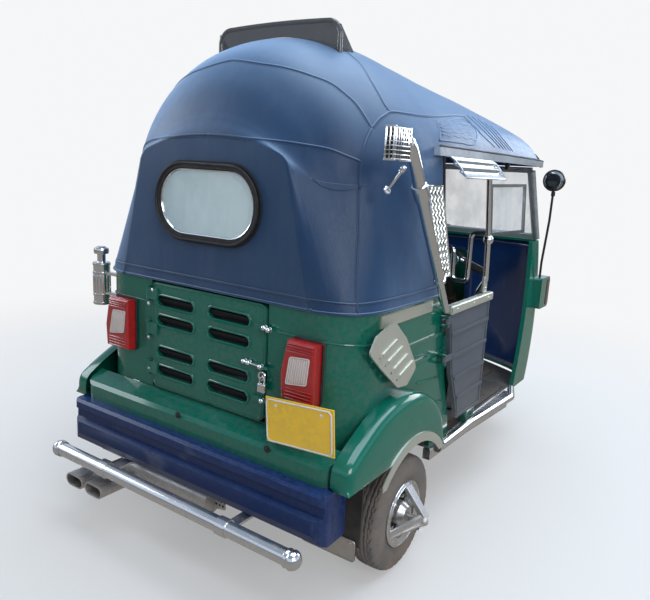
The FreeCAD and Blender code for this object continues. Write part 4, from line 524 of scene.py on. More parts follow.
def meshObject(name, verts, faces, finish, body):
    mesh = bpy.data.meshes.new(name)
    mesh.from_pydata([tuple(vert) for vert in verts], [], faces)
    mesh.validate()
    mesh.shade_smooth()
    mesh.materials.append(finishes[finish])
    obj = link(bpy.data.objects.new(name, mesh))
    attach(obj, body)
    return obj


def cleanMesh(mesh, merge, sharp):
    # Joins doubled points, turns the faces outward and keeps edges hard above an angle in degrees.
    work = bmesh.new()
    work.from_mesh(mesh)
    bmesh.ops.remove_doubles(work, verts=work.verts, dist=merge * mm)
    bmesh.ops.recalc_face_normals(work, faces=work.faces)
    work.to_mesh(mesh)
    work.free()
    mesh.set_sharp_from_angle(angle=math.radians(sharp))


def addModifier(obj, kind, **settings):
    modifier = obj.modifiers.new(kind.lower(), kind)
    for key, value in settings.items():
        setattr(modifier, key, value)
    return modifier


def gridFaces(rows, columns, closedAcross=False, closedAlong=False):
    faces = []
    for row in range(rows if closedAlong else rows - 1):
        near, far = row * columns, (row + 1) % rows * columns
        for column in range(columns if closedAcross else columns - 1):
            after = (column + 1) % columns
            faces.append((near + column, near + after, far + after, far + column))
    return faces


def smoothRows(rows, spacing):
    # Catmull-Rom curve through table rows by their chord length; the first and last rows only steer it.
    out = []
    for a, b, c, d in zip(rows, rows[1:], rows[2:], rows[3:]):
        gaps = [max(1e-6, math.dist(p, q)) ** 0.5 for p, q in ((a, b), (b, c), (c, d))]
        t0, t1, t2, t3 = 0.0, gaps[0], gaps[0] + gaps[1], sum(gaps)
        steps = max(1, round(math.dist(b, c) / spacing))
        for step in range(steps):
            t = t1 + gaps[1] * step / steps
            row = []
            for pa, pb, pc, pd in zip(a, b, c, d):
                l1 = pa * (t1 - t) / (t1 - t0) + pb * (t - t0) / (t1 - t0)
                l2 = pb * (t2 - t) / (t2 - t1) + pc * (t - t1) / (t2 - t1)
                l3 = pc * (t3 - t) / (t3 - t2) + pd * (t - t2) / (t3 - t2)
                m1 = l1 * (t2 - t) / (t2 - t0) + l2 * (t - t0) / (t2 - t0)
                m2 = l2 * (t3 - t) / (t3 - t1) + l3 * (t - t1) / (t3 - t1)
                row.append(m1 * (t2 - t) / (t2 - t1) + m2 * (t - t1) / (t2 - t1))
            out.append(row)
    return out + [list(rows[-2])]


def fine(points, spacing=12.0):
    # Rounded path through a few points, at an even spacing.
    first = [2 * a - b for a, b in zip(points[0], points[1])]
    last = [2 * a - b for a, b in zip(points[-1], points[-2])]
    return [Vector(row) for row in smoothRows([first, *points, last], spacing)]


def circle(centre, radius, across, up, steps):
    # Points round a circle in the plane of two directions.
    centre, across, up = Vector(centre), Vector(across), Vector(up)
    angles = [math.tau * step / steps for step in range(steps)]
    return [centre + (across * math.cos(angle) + up * math.sin(angle)) * radius for angle in angles]


def stadium(half, high, steps=14):
    # Long round outline about its middle: half length across and half height.
    angles = [math.pi * (0.5 - step / steps) for step in range(steps + 1)]
    return [(sign * (half - high + high * math.cos(angle)), sign * high * math.sin(angle))
            for sign in (1, -1) for angle in angles]


def roundedOutline(corners, radius, steps=4):
    # Polygon whose corners are rounded off.
    out = []
    for number, corner in enumerate(corners):
        corner = Vector(corner)
        toBefore = Vector(corners[number - 1]) - corner
        toAfter = Vector(corners[(number + 1) % len(corners)]) - corner
        cut = min(radius, toBefore.length * 0.45, toAfter.length * 0.45)
        start, end = corner + toBefore.normalized() * cut, corner + toAfter.normalized() * cut
        for t in (step / steps for step in range(steps + 1)):
            out.append(tuple(start * (1 - t) ** 2 + corner * 2 * t * (1 - t) + end * t ** 2))
    return out


def rectangle(low, high):
    return ((low[0], low[1]), (high[0], low[1]), (high[0], high[1]), (low[0], high[1]))


def ball(radius, angles):
    turns = [math.radians(angle) for angle in angles]
    return [(radius * math.sin(turn), radius * math.cos(turn)) for turn in turns]


def sideways(way):
    # Two directions square to a way and to each other.
    side = way.orthogonal().normalized()
    return side, way.cross(side)


class Store:
    # Gathers simple forms in millimetres and turns them into one piece.

    def __init__(self):
        self.verts = []
        self.faces = []

    def add(self, verts, faces):
        start = len(self.verts)
        self.verts.extend(Vector(vert) for vert in verts)
        self.faces.extend(tuple(start + number for number in face) for face in faces)

    def flip(self):
        self.verts = [Vector((-vert.x, vert.y, vert.z)) for vert in self.verts]

    def mirror(self):
        # Everything so far once more on the other side of the vehicle.
        self.add([(-vert.x, vert.y, vert.z) for vert in self.verts], [face[::-1] for face in self.faces])

    def tube(self, points, radius, segments=8, closed=False, flat=1.0, up=None, domed=True):
        # Round bar along points, its ends domed; flattened towards the given ups, one for each point.
        points = [Vector(point) for point in points]
        before = [points[-1] if closed else points[0]] + points[:-1]
        after = points[1:] + [points[0] if closed else points[-1]]
        along = [(b - a).normalized() for a, b in zip(before, after)]
        side = along[0].orthogonal().normalized()
        rings = []
        for number, (point, way) in enumerate(zip(points, along)):
            side = (side - way * side.dot(way) if up is None else way.cross(up[number])).normalized()
            rings.append((point, way, side, 1.0))
        if domed and not closed:
            for (place, way, side, scale), sign in ((rings[0], -1), (rings[-1], 1)):
                caps = [(place + way * sign * reach * flat, way, side, narrow / radius)
                        for reach, narrow in ball(radius, (40, 72, 87))]
                rings = rings + caps if sign > 0 else caps[::-1] + rings
        verts = []
        for point, way, side, scale in rings:
            verts += circle(point, radius * scale, side, way.cross(side) * flat, segments)
        faces = gridFaces(len(rings), segments, closedAcross=True, closedAlong=closed)
        if not closed:
            faces.append(tuple(reversed(range(segments))))
            faces.append(tuple(range(len(verts) - segments, len(verts))))
        self.add(verts, faces)

    def lathe(self, profile, centre, axis=(1, 0, 0), steps=40):
        # Profile of (place along the axis, radius) turned about the axis.
        way = Vector(axis).normalized()
        verts = []
        for place, radius in profile:
            verts += circle(Vector(centre) + way * place, max(radius, 0.01), *sideways(way), steps)
        self.add(verts, gridFaces(len(profile), steps, closedAcross=True))

    def slab(self, low, high, rounding=2.0, turn=Matrix.Identity(3)):
        # Box with its edges rounded over, turned about its middle if asked.
        low, high = Vector(low), Vector(high)
        size, middle = high - low, (low + high) / 2
        work = bmesh.new()
        bmesh.ops.create_cube(work, size=1.0)
        for vert in work.verts:
            vert.co = vert.co * size
        offset = min(rounding, min(size) * 0.45)
        bmesh.ops.bevel(work, geom=work.edges[:], offset=offset, segments=3, profile=0.5, affect="EDGES")
        work.verts.ensure_lookup_table()
        self.add([turn @ vert.co + middle for vert in work.verts],
                 [[vert.index for vert in face.verts] for face in work.faces])
        work.free()

    def plate(self, outline, toPlace, thick, bulge=0.0):
        # Flat outline of (across, up) given a thickness; the bulge crowns its face.
        count = len(outline)
        midX, midY = (sum(values) / count for values in zip(*outline))
        verts = []
        for share, depth in ((1.0, 0.0), (1.0, thick * 0.7), (0.94, thick), (0.6, thick + bulge * 0.7),
                             (0.0, thick + bulge)):
            for x, y in outline:
                verts.append(toPlace(midX + (x - midX) * share, midY + (y - midY) * share, depth))
        self.add(verts, gridFaces(5, count, closedAcross=True) + [tuple(reversed(range(count)))])

    def coil(self, start, end, radius, wire, turns):
        run = end - start
        side, other = sideways(run.normalized())
        steps = turns * 20
        path = []
        for step in range(steps + 1):
            angle = math.tau * turns * step / steps
            away = (side * math.cos(angle) + other * math.sin(angle)) * radius
            path.append(start + run * step / steps + away)
        self.tube(path, wire, 7)

    def piece(self, name, finish, body="vehicle"):
        obj = meshObject(name, [vert * mm for vert in self.verts], self.faces, finish, body)
        cleanMesh(obj.data, 0.02, 42)
        return obj


def knob(store, centre, radius, axis=(0, -1, 0), steps=20):
    # Turned knob: a foot ring, a neck and a ball.
    profile = [(-radius * 1.1, radius * 0.9), (-radius * 0.9, radius * 0.9), (-radius * 0.8, radius * 0.55)]
    store.lathe(profile + ball(radius, (-52, -30, -8, 14, 34, 54, 74, 89)), centre, axis, steps)


def bolt(store, centre, radius, axis=(0, -1, 0)):
    # Washer and a six-sided domed head.
    store.lathe([(-1.0, radius), (0.8, radius), (1.4, radius * 0.9), (1.5, radius * 0.3)], centre, axis, 22)
    store.lathe([(1.0, radius * 0.62), (radius * 0.5, radius * 0.62), (radius * 0.66, radius * 0.45),
                 (radius * 0.7, 0)], centre, axis, 6)


def facing(y):
    # Turns (across, up, depth) into a place on a face that looks to the rear.
    return lambda across, up, depth: Vector((across, y - depth, up))


# Hood

hood = {
    "hem": 962.0, "thick": 2.6, "spacing": 13.0, "rearY": -1187.0, "frontLowY": -600.0, "frontTopY": -690.0,
    "eave": 1452.0, "sideSteps": 30, "shoulderSteps": 13, "crownSteps": 24, "rearSteps": 44, "rearBulge": 3.0,
    "cornerTurns": 6, "windowHalf": 228.0, "windowReach": 124.0, "windowLevel": 1254.0,
    # rows: y, half width at the hem, half width at the eave, eave height, crown height, shoulder radius
    "rows": (
        (-1187, 350, 240, 1380, 1425, 45),
        (-1187, 430, 325, 1385, 1478, 60),
        (-1168, 505, 350, 1366, 1530, 92),
        (-1120, 566, 410, 1349, 1652, 158),
        (-1030, 598, 517, 1344, 1759, 215),
        (-875, 603, 590, 1362, 1821, 215),
        (-725, 603, 598, 1410, 1836, 203),
        (-600, 603, 601, 1435, 1821, 190),
        (0, 597, 597, 1445, 1755, 170),
        (400, 574, 574, 1442, 1690, 150),
        (690, 522, 522, 1430, 1562, 100),
        (980, 460, 460, 1418, 1420, 60),
    ),
    "frontRow": 10,
}
hoodMiddle = Vector((0, -0.3, 1.2))


def hoodSection(row, settings):
    # Points of one section from the right hem over the crown to the left hem.
    y, foot, half, eave, crown, shoulder = row
    low = settings["hem"]
    length = math.hypot(half - foot, eave - low)
    outX, outZ = (eave - low) / length, (foot - half) / length
    side, level = half - shoulder * outX, eave - shoulder * outZ
    centre = (side ** 2 + level ** 2 - (crown - shoulder) ** 2) / (2 * (level - crown + shoulder))
    radius = crown - centre
    startAngle, endAngle = math.atan2(outX, outZ), math.atan2(side, level - centre)
    points = []
    for share in (step / settings["sideSteps"] for step in range(settings["sideSteps"])):
        points.append((foot + (half - foot) * share, y, low + (eave - low) * share))
    for step in range(settings["shoulderSteps"]):
        angle = startAngle + (endAngle - startAngle) * step / settings["shoulderSteps"]
        points.append((side + shoulder * math.sin(angle), y, level + shoulder * math.cos(angle)))
    for step in range(settings["crownSteps"]):
        angle = endAngle * (1 - step / settings["crownSteps"])
        points.append((radius * math.sin(angle), y, centre + radius * math.cos(angle)))
    return points + [(0.0, y, crown)] + [(-x, y, z) for x, y, z in reversed(points)]


def hoodGrid(settings):
    # Rear face rows first, closing on the hem's middle, then the sections forward to the front edge.
    rows = smoothRows(settings["rows"], settings["spacing"])
    depths = [max(row[0], settings["rearY"]) for row in rows]
    for turn in range(settings["cornerTurns"]):
        # the corner eases out of the rear face without a ridge
        middles = [(a + 2 * b + c) / 4 for a, b, c in zip(depths, depths[1:], depths[2:])]
        depths = [depths[0], *middles, depths[-1]]
    grid = [hoodSection([depth, *row[1:]], settings) for depth, row in zip(depths, rows)]
    rim = grid[0]
    steps = settings["rearSteps"]
    shares = [0.012, 0.03, 0.055] + [0.055 + 0.945 * step / steps for step in range(1, steps + 1)]
    rear = []
    for share in reversed(shares):
        y = settings["rearY"] + settings["rearBulge"] * math.sin(share * math.pi / 2) ** 2
        line = []
        for number, (x, rimY, z) in enumerate(rim):
            across = rim[0][0] * (1 - 2 * number / (len(rim) - 1))
            line.append((x + (across - x) * share, y, z + (settings["hem"] - z) * share))
        rear.append(line)
    return rear + grid


def clothWaves(point):
    # Slack of the sheet between its hoops: slow hollows, tension folds above the hem and small ripples.
    x, y, z = (value * mm for value in point)
    slow = noise.noise(Vector((x * 1.7, y * 1.9, z * 1.6)))
    drag = noise.noise(Vector((x * 7.5 + 3, y * 7.5, z * 1.1)))
    small = noise.noise(Vector((x * 9, y * 9 + 5, z * 7)))
    near = max(0.0, 1 - (z - 0.96) / 0.5)
    sag = -3.2 * math.sin(math.pi * min(1.0, (y + 0.62) / 0.62)) ** 2 if y > -0.62 and z > 1.45 else 0.0
    return 2.0 * slow + 1.8 * drag * near + 0.5 * small + sag - 1.0


def pastWindow(x, z, settings):
    # Distance from the window's long round outline, less than nothing inside it.
    straight = settings["windowHalf"] - settings["windowReach"]
    return math.hypot(max(0.0, abs(x) - straight), z - settings["windowLevel"]) - settings["windowReach"]


def doorEdge(level, settings):
    # Place along the vehicle of the hood's slanting front edge at a height.
    share = (level - settings["hem"]) / (settings["eave"] - settings["hem"])
    return settings["frontLowY"] + (settings["frontTopY"] - settings["frontLowY"]) * share


def isOpen(centre, settings):
    # Whether a face lies in a doorway or in the window.
    if centre.z < settings["eave"] and centre.y > doorEdge(centre.z, settings):
        return True
    return centre.y < settings["rearY"] + 30 and pastWindow(centre.x, centre.z, settings) < 2


def settleEdge(vertex, settings):
    # Moves a boundary point, so that the window, the front edge and the eave run clean.
    x, y, z = vertex.co / mm
    hem, eave = settings["hem"], settings["eave"]
    if y < settings["rearY"] + 30 and z > hem + 60 and pastWindow(x, z, settings) < 26:
        straight = settings["windowHalf"] - settings["windowReach"]
        core = Vector((max(-straight, min(straight, x)), y, settings["windowLevel"]))
        away = Vector((x, y, z)) - core
        vertex.co = (core + away.normalized() * settings["windowReach"]) * mm
        vertex.co.y = y * mm
    elif hem + 4 < z < eave - 4 and y > settings["frontTopY"] - 30:
        vertex.co.y = doorEdge(z, settings) * mm
    elif abs(z - eave) < 26 and y > settings["frontTopY"]:
        vertex.co.z = eave * mm


def buildHood(settings):
    grid = hoodGrid(settings)
    flat = [Vector(point) for line in grid for point in line]
    faces = gridFaces(len(grid), len(grid[0]))
    obj = meshObject("hoodSheet", [point * mm for point in flat], faces, "hoodVinyl", "vehicle")
    normals = [vertex.normal.copy() for vertex in obj.data.vertices]
    for vertex, normal, point in zip(obj.data.vertices, normals, flat):
        outward = normal if normal.dot(vertex.co - hoodMiddle) > 0 else -normal
        vertex.co += outward * clothWaves(point) * mm
    work = bmesh.new()
    work.from_mesh(obj.data)
    gone = [face for face in work.faces if isOpen(face.calc_center_median() / mm, settings)]
    bmesh.ops.delete(work, geom=gone, context="FACES")
    for vertex in work.verts:
        if vertex.is_boundary:
            settleEdge(vertex, settings)
    bmesh.ops.recalc_face_normals(work, faces=work.faces)
    if sum(face.normal.dot(face.calc_center_median() - hoodMiddle) for face in work.faces) < 0:
        bmesh.ops.reverse_faces(work, faces=work.faces)
    work.to_mesh(obj.data)
    work.free()
    addModifier(obj, "SOLIDIFY", thickness=settings["thick"] * mm, offset=-1.0)
    addModifier(obj, "SUBSURF", levels=1, render_levels=1)
    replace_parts(obj, "hood_back", "hood_top")
    return obj


hoodSheet = buildHood(hood)
print("hood built", len(hoodSheet.data.polygons))


# Seams, piping, pleats and bindings that lie on the hood

seams = {
    "crease": ((0, -1187, 1473), (90, -1187, 1470), (179, -1184, 1464), (276, -1158, 1459),
               (348, -1128, 1452), (414, -1091, 1442), (454, -1067, 1427), (492, -1037, 1411)),
    "corner": ((487, -976, 1514), (488, -1010, 1468), (492, -1037, 1411), (497, -1049, 1357),
               (504, -1056, 1299), (518, -1068, 1209), (530, -1085, 1123), (547, -1104, 1036),
               (556, -1112, 968)),
    "rearArch": ((0, -1077, 1722), (117, -1076, 1702), (205, -1061, 1689), (293, -1036, 1666),
                 (352, -1008, 1643), (392, -996, 1616), (429, -984, 1586), (461, -980, 1549),
                 (487, -976, 1514)),
    "midArch": ((0, -772, 1836), (130, -778, 1822), (250, -792, 1782), (298, -820, 1755), (338, -832, 1729),
                (412, -872, 1665), (452, -884, 1623), (481, -890, 1590), (496, -886, 1571)),
    "eaveSeam": ((487, -976, 1514), (489, -940, 1545), (493, -916, 1558), (496, -886, 1571),
                 (508, -836, 1571), (519, -784, 1572), (530, -700, 1576), (530, -596, 1587),
                 (510, -428, 1605), (496, -300, 1614)),
    "pleats": (((505, -332, 1608), (562, -296, 1552), (588, -188, 1503)),
               ((490, -260, 1618), (553, -236, 1563), (588, -132, 1503)),
               ((484, -196, 1622), (556, -190, 1560), (589, -88, 1501)),
               ((488, -150, 1616), (558, -140, 1557), (588, -56, 1502)),
               ((500, -112, 1605), (563, -96, 1549), (588, -8, 1501)),
               ((516, -74, 1591), (565, -52, 1545), (588, 32, 1499))),
    "panel": ((583, -696, 1497), (572, -672, 1530), (548, -648, 1563), (540, -532, 1578), (520, -380, 1597),
              (535, -330, 1581), (560, -330, 1552), (586, -400, 1503), (592, -540, 1499), (583, -696, 1497)),
    # half of the hem's line in plan, from the doorway to the middle of the tail
    "hem": ((603, -604), (603, -700), (602, -875), (598, -1000), (590, -1066), (566, -1120), (537, -1149),
            (505, -1168), (470, -1180), (430, -1186), (300, -1187), (150, -1187), (0, -1187)),
    "hemLevels": (1000, 966), "stitchLevels": (1006.5, 993.5), "aside": 7.5, "stitch": 0.9, "quiltRows": 5,
    "front": ((603, -600, 964), (602.5, -630, 1130), (601.5, -664, 1310), (600, -688, 1444)),
}
hoodTree = BVHTree.FromObject(hoodSheet, bpy.context.evaluated_depsgraph_get())


def onHood(points, lift, spacing=9.0):
    # Path drawn onto the sheet's outer side, with the way out at each of its points.
    onSheet = []
    outs = []
    for point in fine(points, spacing):
        place, normal, *rest = hoodTree.find_nearest(point * mm)
        if normal.dot(place - hoodMiddle) < 0:
            # the nearest face was the sheet's inside, so look from further out
            place, normal, *rest = hoodTree.find_nearest(point * mm - normal * 0.012)
        onSheet.append(place / mm + normal * lift)
        outs.append(normal)
    return onSheet, outs


def mirrored(points, sign):
    return [(x * sign, y, z) for x, y, z in points]


def layOn(store, points, radius, flat, lift, signs=(1, -1)):
    # One low ribbon along a path, on both sides of the vehicle unless told otherwise.
    for sign in signs:
        onSheet, outs = onHood(mirrored(points, sign), lift)
        ways = [(b - a).normalized() for a, b in zip(onSheet, onSheet[1:])]
        ways.append(ways[-1])
        ups = [(out - way * out.dot(way)).normalized() for out, way in zip(outs, ways)]
        store.tube(onSheet, radius, 6, flat=flat, up=ups)


def hemPath(level):
    # Once round the hood's foot, from the right doorway over the tail to the left one.
    half = [(x, y, level) for x, y in seams["hem"]]
    return half + mirrored(half[-2::-1], -1)


def makeWelts():
    welts = Store()
    for name in ("crease", "corner", "rearArch", "midArch", "eaveSeam"):
        layOn(welts, seams[name], 4.2, 0.42, 0.2)
    for pleat in seams["pleats"]:
        layOn(welts, pleat, 3.2, 0.55, 0.3)
    layOn(welts, seams["panel"], 4.0, 0.5, 0.3)
    upper, lower = seams["hemLevels"]
    layOn(welts, hemPath(upper), 3.6, 0.40, 0.2, (1,))
    layOn(welts, hemPath(lower), 5.0, 0.55, 0.6, (1,))
    return welts.piece("hoodSeams", "hoodWelt")


def makeStitches():
    # Short threads beside each seam and in two rows above the hem.
    stitches = Store()
    for name in ("corner", "rearArch", "midArch", "eaveSeam", "crease"):
        for sign in (1, -1):
            onSheet, outs = onHood(mirrored(seams[name], sign), 0.6, 5.0)
            for number in range(1, len(onSheet) - 2, 2):
                way = (onSheet[number + 1] - onSheet[number]).normalized()
                start = onSheet[number] + way.cross(outs[number]).normalized() * seams["aside"] * sign
                stitches.tube([start, start + way * 4.6], seams["stitch"], 5, domed=False)
    for level in seams["stitchLevels"]:
        onSheet, outs = onHood(hemPath(level), 0.5, 6.5)
        for start, end in zip(onSheet[:-1:2], onSheet[1::2]):
            stitches.tube([start, start + (end - start) * 0.75], seams["stitch"], 5, domed=False)
    return stitches.piece("hoodStitches", "stitchThread")


def makeQuilting():
    # Rows of soft ridges inside the shoulder panel's border.
    quilt = Store()
    for row in range(seams["quiltRows"]):
        share = (row + 0.5) / seams["quiltRows"]
        path = []
        for step in range(15):
            t = step / 14
            level = 1512 + 62 * share + 12 * t * share + 3.0 * math.sin(step * 1.9 + row)
            path.append((586 - 42 * share - 14 * t * share, -668 + 20 * share + t * 300, level))
        layOn(quilt, path, 5.5, 0.38, -0.4)
    return quilt.piece("hoodQuilting", "hoodWelt")


def makeBinding():
    # Rubber over the front edge and down both sides of the doorways.
    binding = Store()
    section = hoodSection(hood["rows"][hood["frontRow"]], hood)
    edge = [(x, y + 1.0, z - 1.5) for x, y, z in section if z >= hood["eave"] - 2]
    binding.tube(edge[::2] + [edge[-1]], 7.0, 8, flat=0.75)
    for sign in (1, -1):
        binding.tube(fine(mirrored(seams["front"], sign), 30), 6.0, 8)
    return binding.piece("hoodBinding", "blackRubber")


trims = [makeWelts(), makeStitches(), makeQuilting(), makeBinding()]
print("hood trim built")


# Rear window: bright inner ring and the rubber's locking bead

# name, finish, half width, half height, bar radius, y
windowTable = (("windowRing", "chrome", 211, 107, 4.2, -1190.5),
               ("windowBead", "blackRubber", 229, 125, 5.2, -1199.5))
for name, finish, half, high, radius, y in windowTable:
    ring = Store()
    ring.tube([(x, y, hood["windowLevel"] + z) for x, z in stadium(half, high, 18)], radius, closed=True)
    ring.piece(name, finish)


# Fenders: one rolled panel on each side, with its turned edge over the wheel

fender = {
    # y and z along the outer edge from the rear corner over the top
    "edge": ((-1250, 458), (-1251, 496), (-1243, 530), (-1212, 556), (-1130, 604), (-1062, 636),
             (-990, 655), (-925, 663), (-860, 664), (-798, 655), (-740, 636), (-688, 608), (-640, 571),
             (-608, 528), (-584, 480), (-570, 430), (-566, 392)),
    "centre": (-825, 207), "arch": 300.0, "inner": 584.6, "outer": 652.0, "round": 34.0, "skin": 16.0,
    "rearLow": 458.0, "frontLow": 392.0, "hollow": 360.0, "turned": 2.5, "stations": 84,
}


def fenderSection(reach, low, settings):
    # Across and out from the inner edge over the rolled shoulder to the turned edge and back inside.
    inner, outer = settings["inner"], settings["outer"]
    deep = min(reach, max(low, settings["hollow"]))
    curve = min(settings["round"], (reach - low) * 0.8)
    fold = min(settings["turned"], (reach - low) * 0.1)
    section = [(inner, reach)]
    section += [(outer - curve + curve * math.sin(turn), reach - curve + curve * math.cos(turn))
                for turn in (math.radians(15 * step) for step in range(7))]
    section += [(outer, low + (reach - curve - low) * share) for share in (0.66, 0.33)]
    return section + [(outer, low + fold), (outer - fold * 0.3, low + fold * 0.3), (outer - fold, low),
                      (outer - settings["skin"], low), (outer - settings["skin"], deep), (inner, deep)]


def makeFenders(settings):
    midY, midZ = settings["centre"]
    edge = fine([(y, z, 0) for y, z in settings["edge"]], 8.0)
    polar = [(math.atan2(point.y - midZ, point.x - midY), math.hypot(point.x - midY, point.y - midZ))
             for point in edge]
    start, end = polar[0][0], polar[-1][0]
    stations = settings["stations"]
    verts = []
    for angle in (start + (end - start) * station / stations for station in range(stations + 1)):
        for (a, near), (b, far) in zip(polar, polar[1:]):
            if b <= angle <= a:
                break
        reach = near + (far - near) * (a - angle) / max(a - b, 1e-6)
        floor = settings["rearLow"] if angle > math.pi / 2 else settings["frontLow"]
        low = min(reach, max(settings["arch"], (floor - midZ) / math.sin(angle)))
        section = fenderSection(reach, low, settings)
        across, up = math.cos(angle), math.sin(angle)
        verts += [(x, midY + radius * across, midZ + radius * up) for x, radius in section]
    store = Store()
    store.add(verts, gridFaces(stations + 1, len(section)))
    store.mirror()
    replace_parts(store.piece("fenderShells", "bodyGreen"), "fenders")


makeFenders(fender)
print("fenders ready")


# Tail lamps: lenses, ribs, red prisms above and below, gaskets

lamps = {
    "face": -1221.0, "gasketY": -1180, "ribs": 9, "prisms": 4,
    # corners of each lens, and how far its housing is shifted from the right one
    "lenses": ((((395, 822), (468, 829), (460, 745), (382, 734)), 0),
               (((-446, 826), (-376, 829), (-386, 748), (-466, 735)), -852)),
    "housing": ((378, 872), (486, 872), (486, 682), (362, 682), (356, 764)),
    # lowest and highest line of a field of prisms and where its lines begin
    "fields": ((840, 864, 384), (690, 722, 382)), "fieldEnd": 476,
}


def makeTailLamps(settings):
    lens, ribs, red, gasket = Store(), Store(), Store(), Store()
    face = settings["face"]
    for corners, shift in settings["lenses"]:
        outline = roundedOutline(corners, 7)
        lens.plate(outline, facing(face), 1.2, 2.4)
        (x0, z0), (x1, z1), (x2, z2), (x3, z3) = corners
        for share in (number / settings["ribs"] for number in range(1, settings["ribs"])):
            top = (x0 + (x1 - x0) * share, face - 2.6, z0 + (z1 - z0) * share - 5)
            low = (x3 + (x2 - x3) * share, face - 2.6, z3 + (z2 - z3) * share + 5)
            ribs.tube([top, low], 1.4, 6)
        ribs.tube([(x, face - 1.2, z) for x, z in outline], 1.9, 6, closed=True)
        for low, high, start in settings["fields"]:
            for step in range(settings["prisms"]):
                level = low + (high - low) * step / (settings["prisms"] - 1)
                red.tube([(x + shift, face - 0.3, level) for x in (start, settings["fieldEnd"])], 2.2, 6)
        wider = [(x + shift + (3 if x > 420 else -3), z + (3 if z > 770 else -3))
                 for x, z in settings["housing"]]
        gasket.tube([(x, settings["gasketY"], z) for x, z in roundedOutline(wider, 12)], 4.5, closed=True)
    lens.piece("tailLampLenses", "lensWhite")
    ribs.piece("tailLampRibs", "lensClear")
    red.piece("tailLampOptics", "lampRed")
    gasket.piece("tailLampGaskets", "blackRubber")


makeTailLamps(lamps)


# Engine door: louvre rims, bead, knobs, bolts and padlock; they swing with it

engineDoor = {
    "face": -1181.0, "columns": (-152, 104), "rows": (890, 818, 700, 628), "slot": (96.5, 21.5),
    "bead": ((-268, 948), (258, 948), (258, 568), (-268, 568)),
    "knobs": ((268, 884), (286, 880), (188, 757), (207, 756), (258, 753), (268, 640)),
    "bolts": ((-262, 925), (-282, 872), (-283, 745), (-283, 626)),
    # depth and height of a skin of painted shade over the slanting vane in each slot
    "vane": ((2.4, 3.3), (2.4, 10.7), (17.3, -7.3), (17.3, -14.7)), "vaneHalf": 93.2,
    "rod": ((188, 757), (258, 753)), "keyhole": (262, 722),
    "shackle": ((258, 696), (258, 716), (268, 724), (278, 716), (278, 696)),
}


def makeLouvres(settings):
    rims, backs = Store(), Store()
    y = settings["face"]
    vaneFaces = [(0, 1, 2, 3), (7, 6, 5, 4)] + [(n, 4 + n, 4 + (n + 1) % 4, (n + 1) % 4) for n in range(4)]
    for column in settings["columns"]:
        for row in settings["rows"]:
            outline = stadium(*settings["slot"], 10)
            rims.tube([(column + x, y - 0.8, row + z) for x, z in outline], 4.6, closed=True)
            # dark back and vane skin of each slot: painted shade
            backs.plate([(column + x, row + z) for x, z in stadium(93, 18, 8)], facing(y + 16.4), 0.8)
            backs.add([(column + x, y + deep, row + up) for x in (-settings["vaneHalf"], settings["vaneHalf"])
                       for deep, up in settings["vane"]], vaneFaces)
    rims.tube([(x, y - 0.2, z) for x, z in roundedOutline(settings["bead"], 24, 6)], 2.4, 6, closed=True)
    rims.piece("engineDoorRims", "bodyGreen", "engine_lid")
    backs.piece("engineDoorSlots", "voidBlack", "engine_lid")


def makeDoorFittings(settings):
    chrome, lock = Store(), Store()
    y = settings["face"]
    for x, z in settings["knobs"]:
        knob(chrome, (x, y - 15, z), 9.5)
    chrome.tube([(x, y - 12, z) for x, z in settings["rod"]], 4.0, 10)
    across, up = settings["keyhole"]
    chrome.lathe([(-3, 15), (-1, 16.5), (1, 15), (1.5, 11), (0, 9)], (across, y - 11, up), (0, -1, 0), 24)
    for x, z in settings["bolts"]:
        bolt(chrome, (x, y - 9.5, z), 6.5)
    chrome.piece("engineDoorKnobs", "chrome", "engine_lid")
    lock.slab((252, y - 22, 668), (284, y - 6, 700), 5)
    lock.tube([(x, y - 14, z) for x, z in settings["shackle"]], 3.2)
    lock.piece("engineDoorPadlock", "dirtyChrome", "engine_lid")


makeLouvres(engineDoor)
makeDoorFittings(engineDoor)


# Lip bolts, plate rim, bar caps, pierced guard, flap tags and the bottle's bands

tail = {
    "lipBolts": ((-54, 522), (347, 519)), "lipY": -1256, "plate": (470.0, 632.0), "plateY": -1266,
    "plateTilt": 4.5, "plateHalf": (120, 66),
    "plateScrews": ((-84, 50), (84, 50)), "bar": (-1385.0, 290.0), "barEnd": 555,
    "barCollars": (-292.8, 296.64),
    "guard": ((-300, 268), (122, 258), (128, 200), (90, 194), (-270, 205), (-300, 214)), "guardHoles": 27,
    "guardStart": -290, "guardPitch": 15.6, "guardHangers": (-240, -60, 90), "tag": ((427, 188), (626, 258)),
    "tagRivets": (445, 525, 608), "bottle": (-632, -1132), "bottleRibs": 16,
    "bottleBands": ((812, 33.4), (846, 33.2), (934, 33.2), (968, 33.0)),
    "bandProfile": ((-5, -1.5), (-4, 0.8), (0, 1.6), (4, 0.8), (5, -1.5)),
}


def makeLipBolts(settings):
    bolts = Store()
    y = settings["lipY"]
    for x, z in settings["lipBolts"]:
        bolts.lathe([(-1, 12), (1.5, 12), (2.6, 10), (1.0, 8)], (x, y, z), (0, -1, 0), 26)
        bolt(bolts, (x, y - 0.5, z), 7)
    bolts.piece("lipBolts", "blackRubber")


def makePlateRim(settings):
    # Folded rim and two screws on the bare face.
    turn = math.radians(settings["plateTilt"])
    cos, sin = math.cos(turn), math.sin(turn)
    midX, midZ = settings["plate"]

    def onPlate(x, y, z):
        return Vector((midX + x * cos - z * sin, y, midZ + x * sin + z * cos))

    rim = Store()
    wide, high = settings["plateHalf"]
    outline = roundedOutline(rectangle((-wide, -high), (wide, high)), 16, 5)
    rim.tube([onPlate(x, settings["plateY"], z) for x, z in outline], 2.6, closed=True)
    for x, z in settings["plateScrews"]:
        bolt(rim, onPlate(x, settings["plateY"] - 0.5, z), 5.5)
    rim.piece("plateRim", "paleEdge")


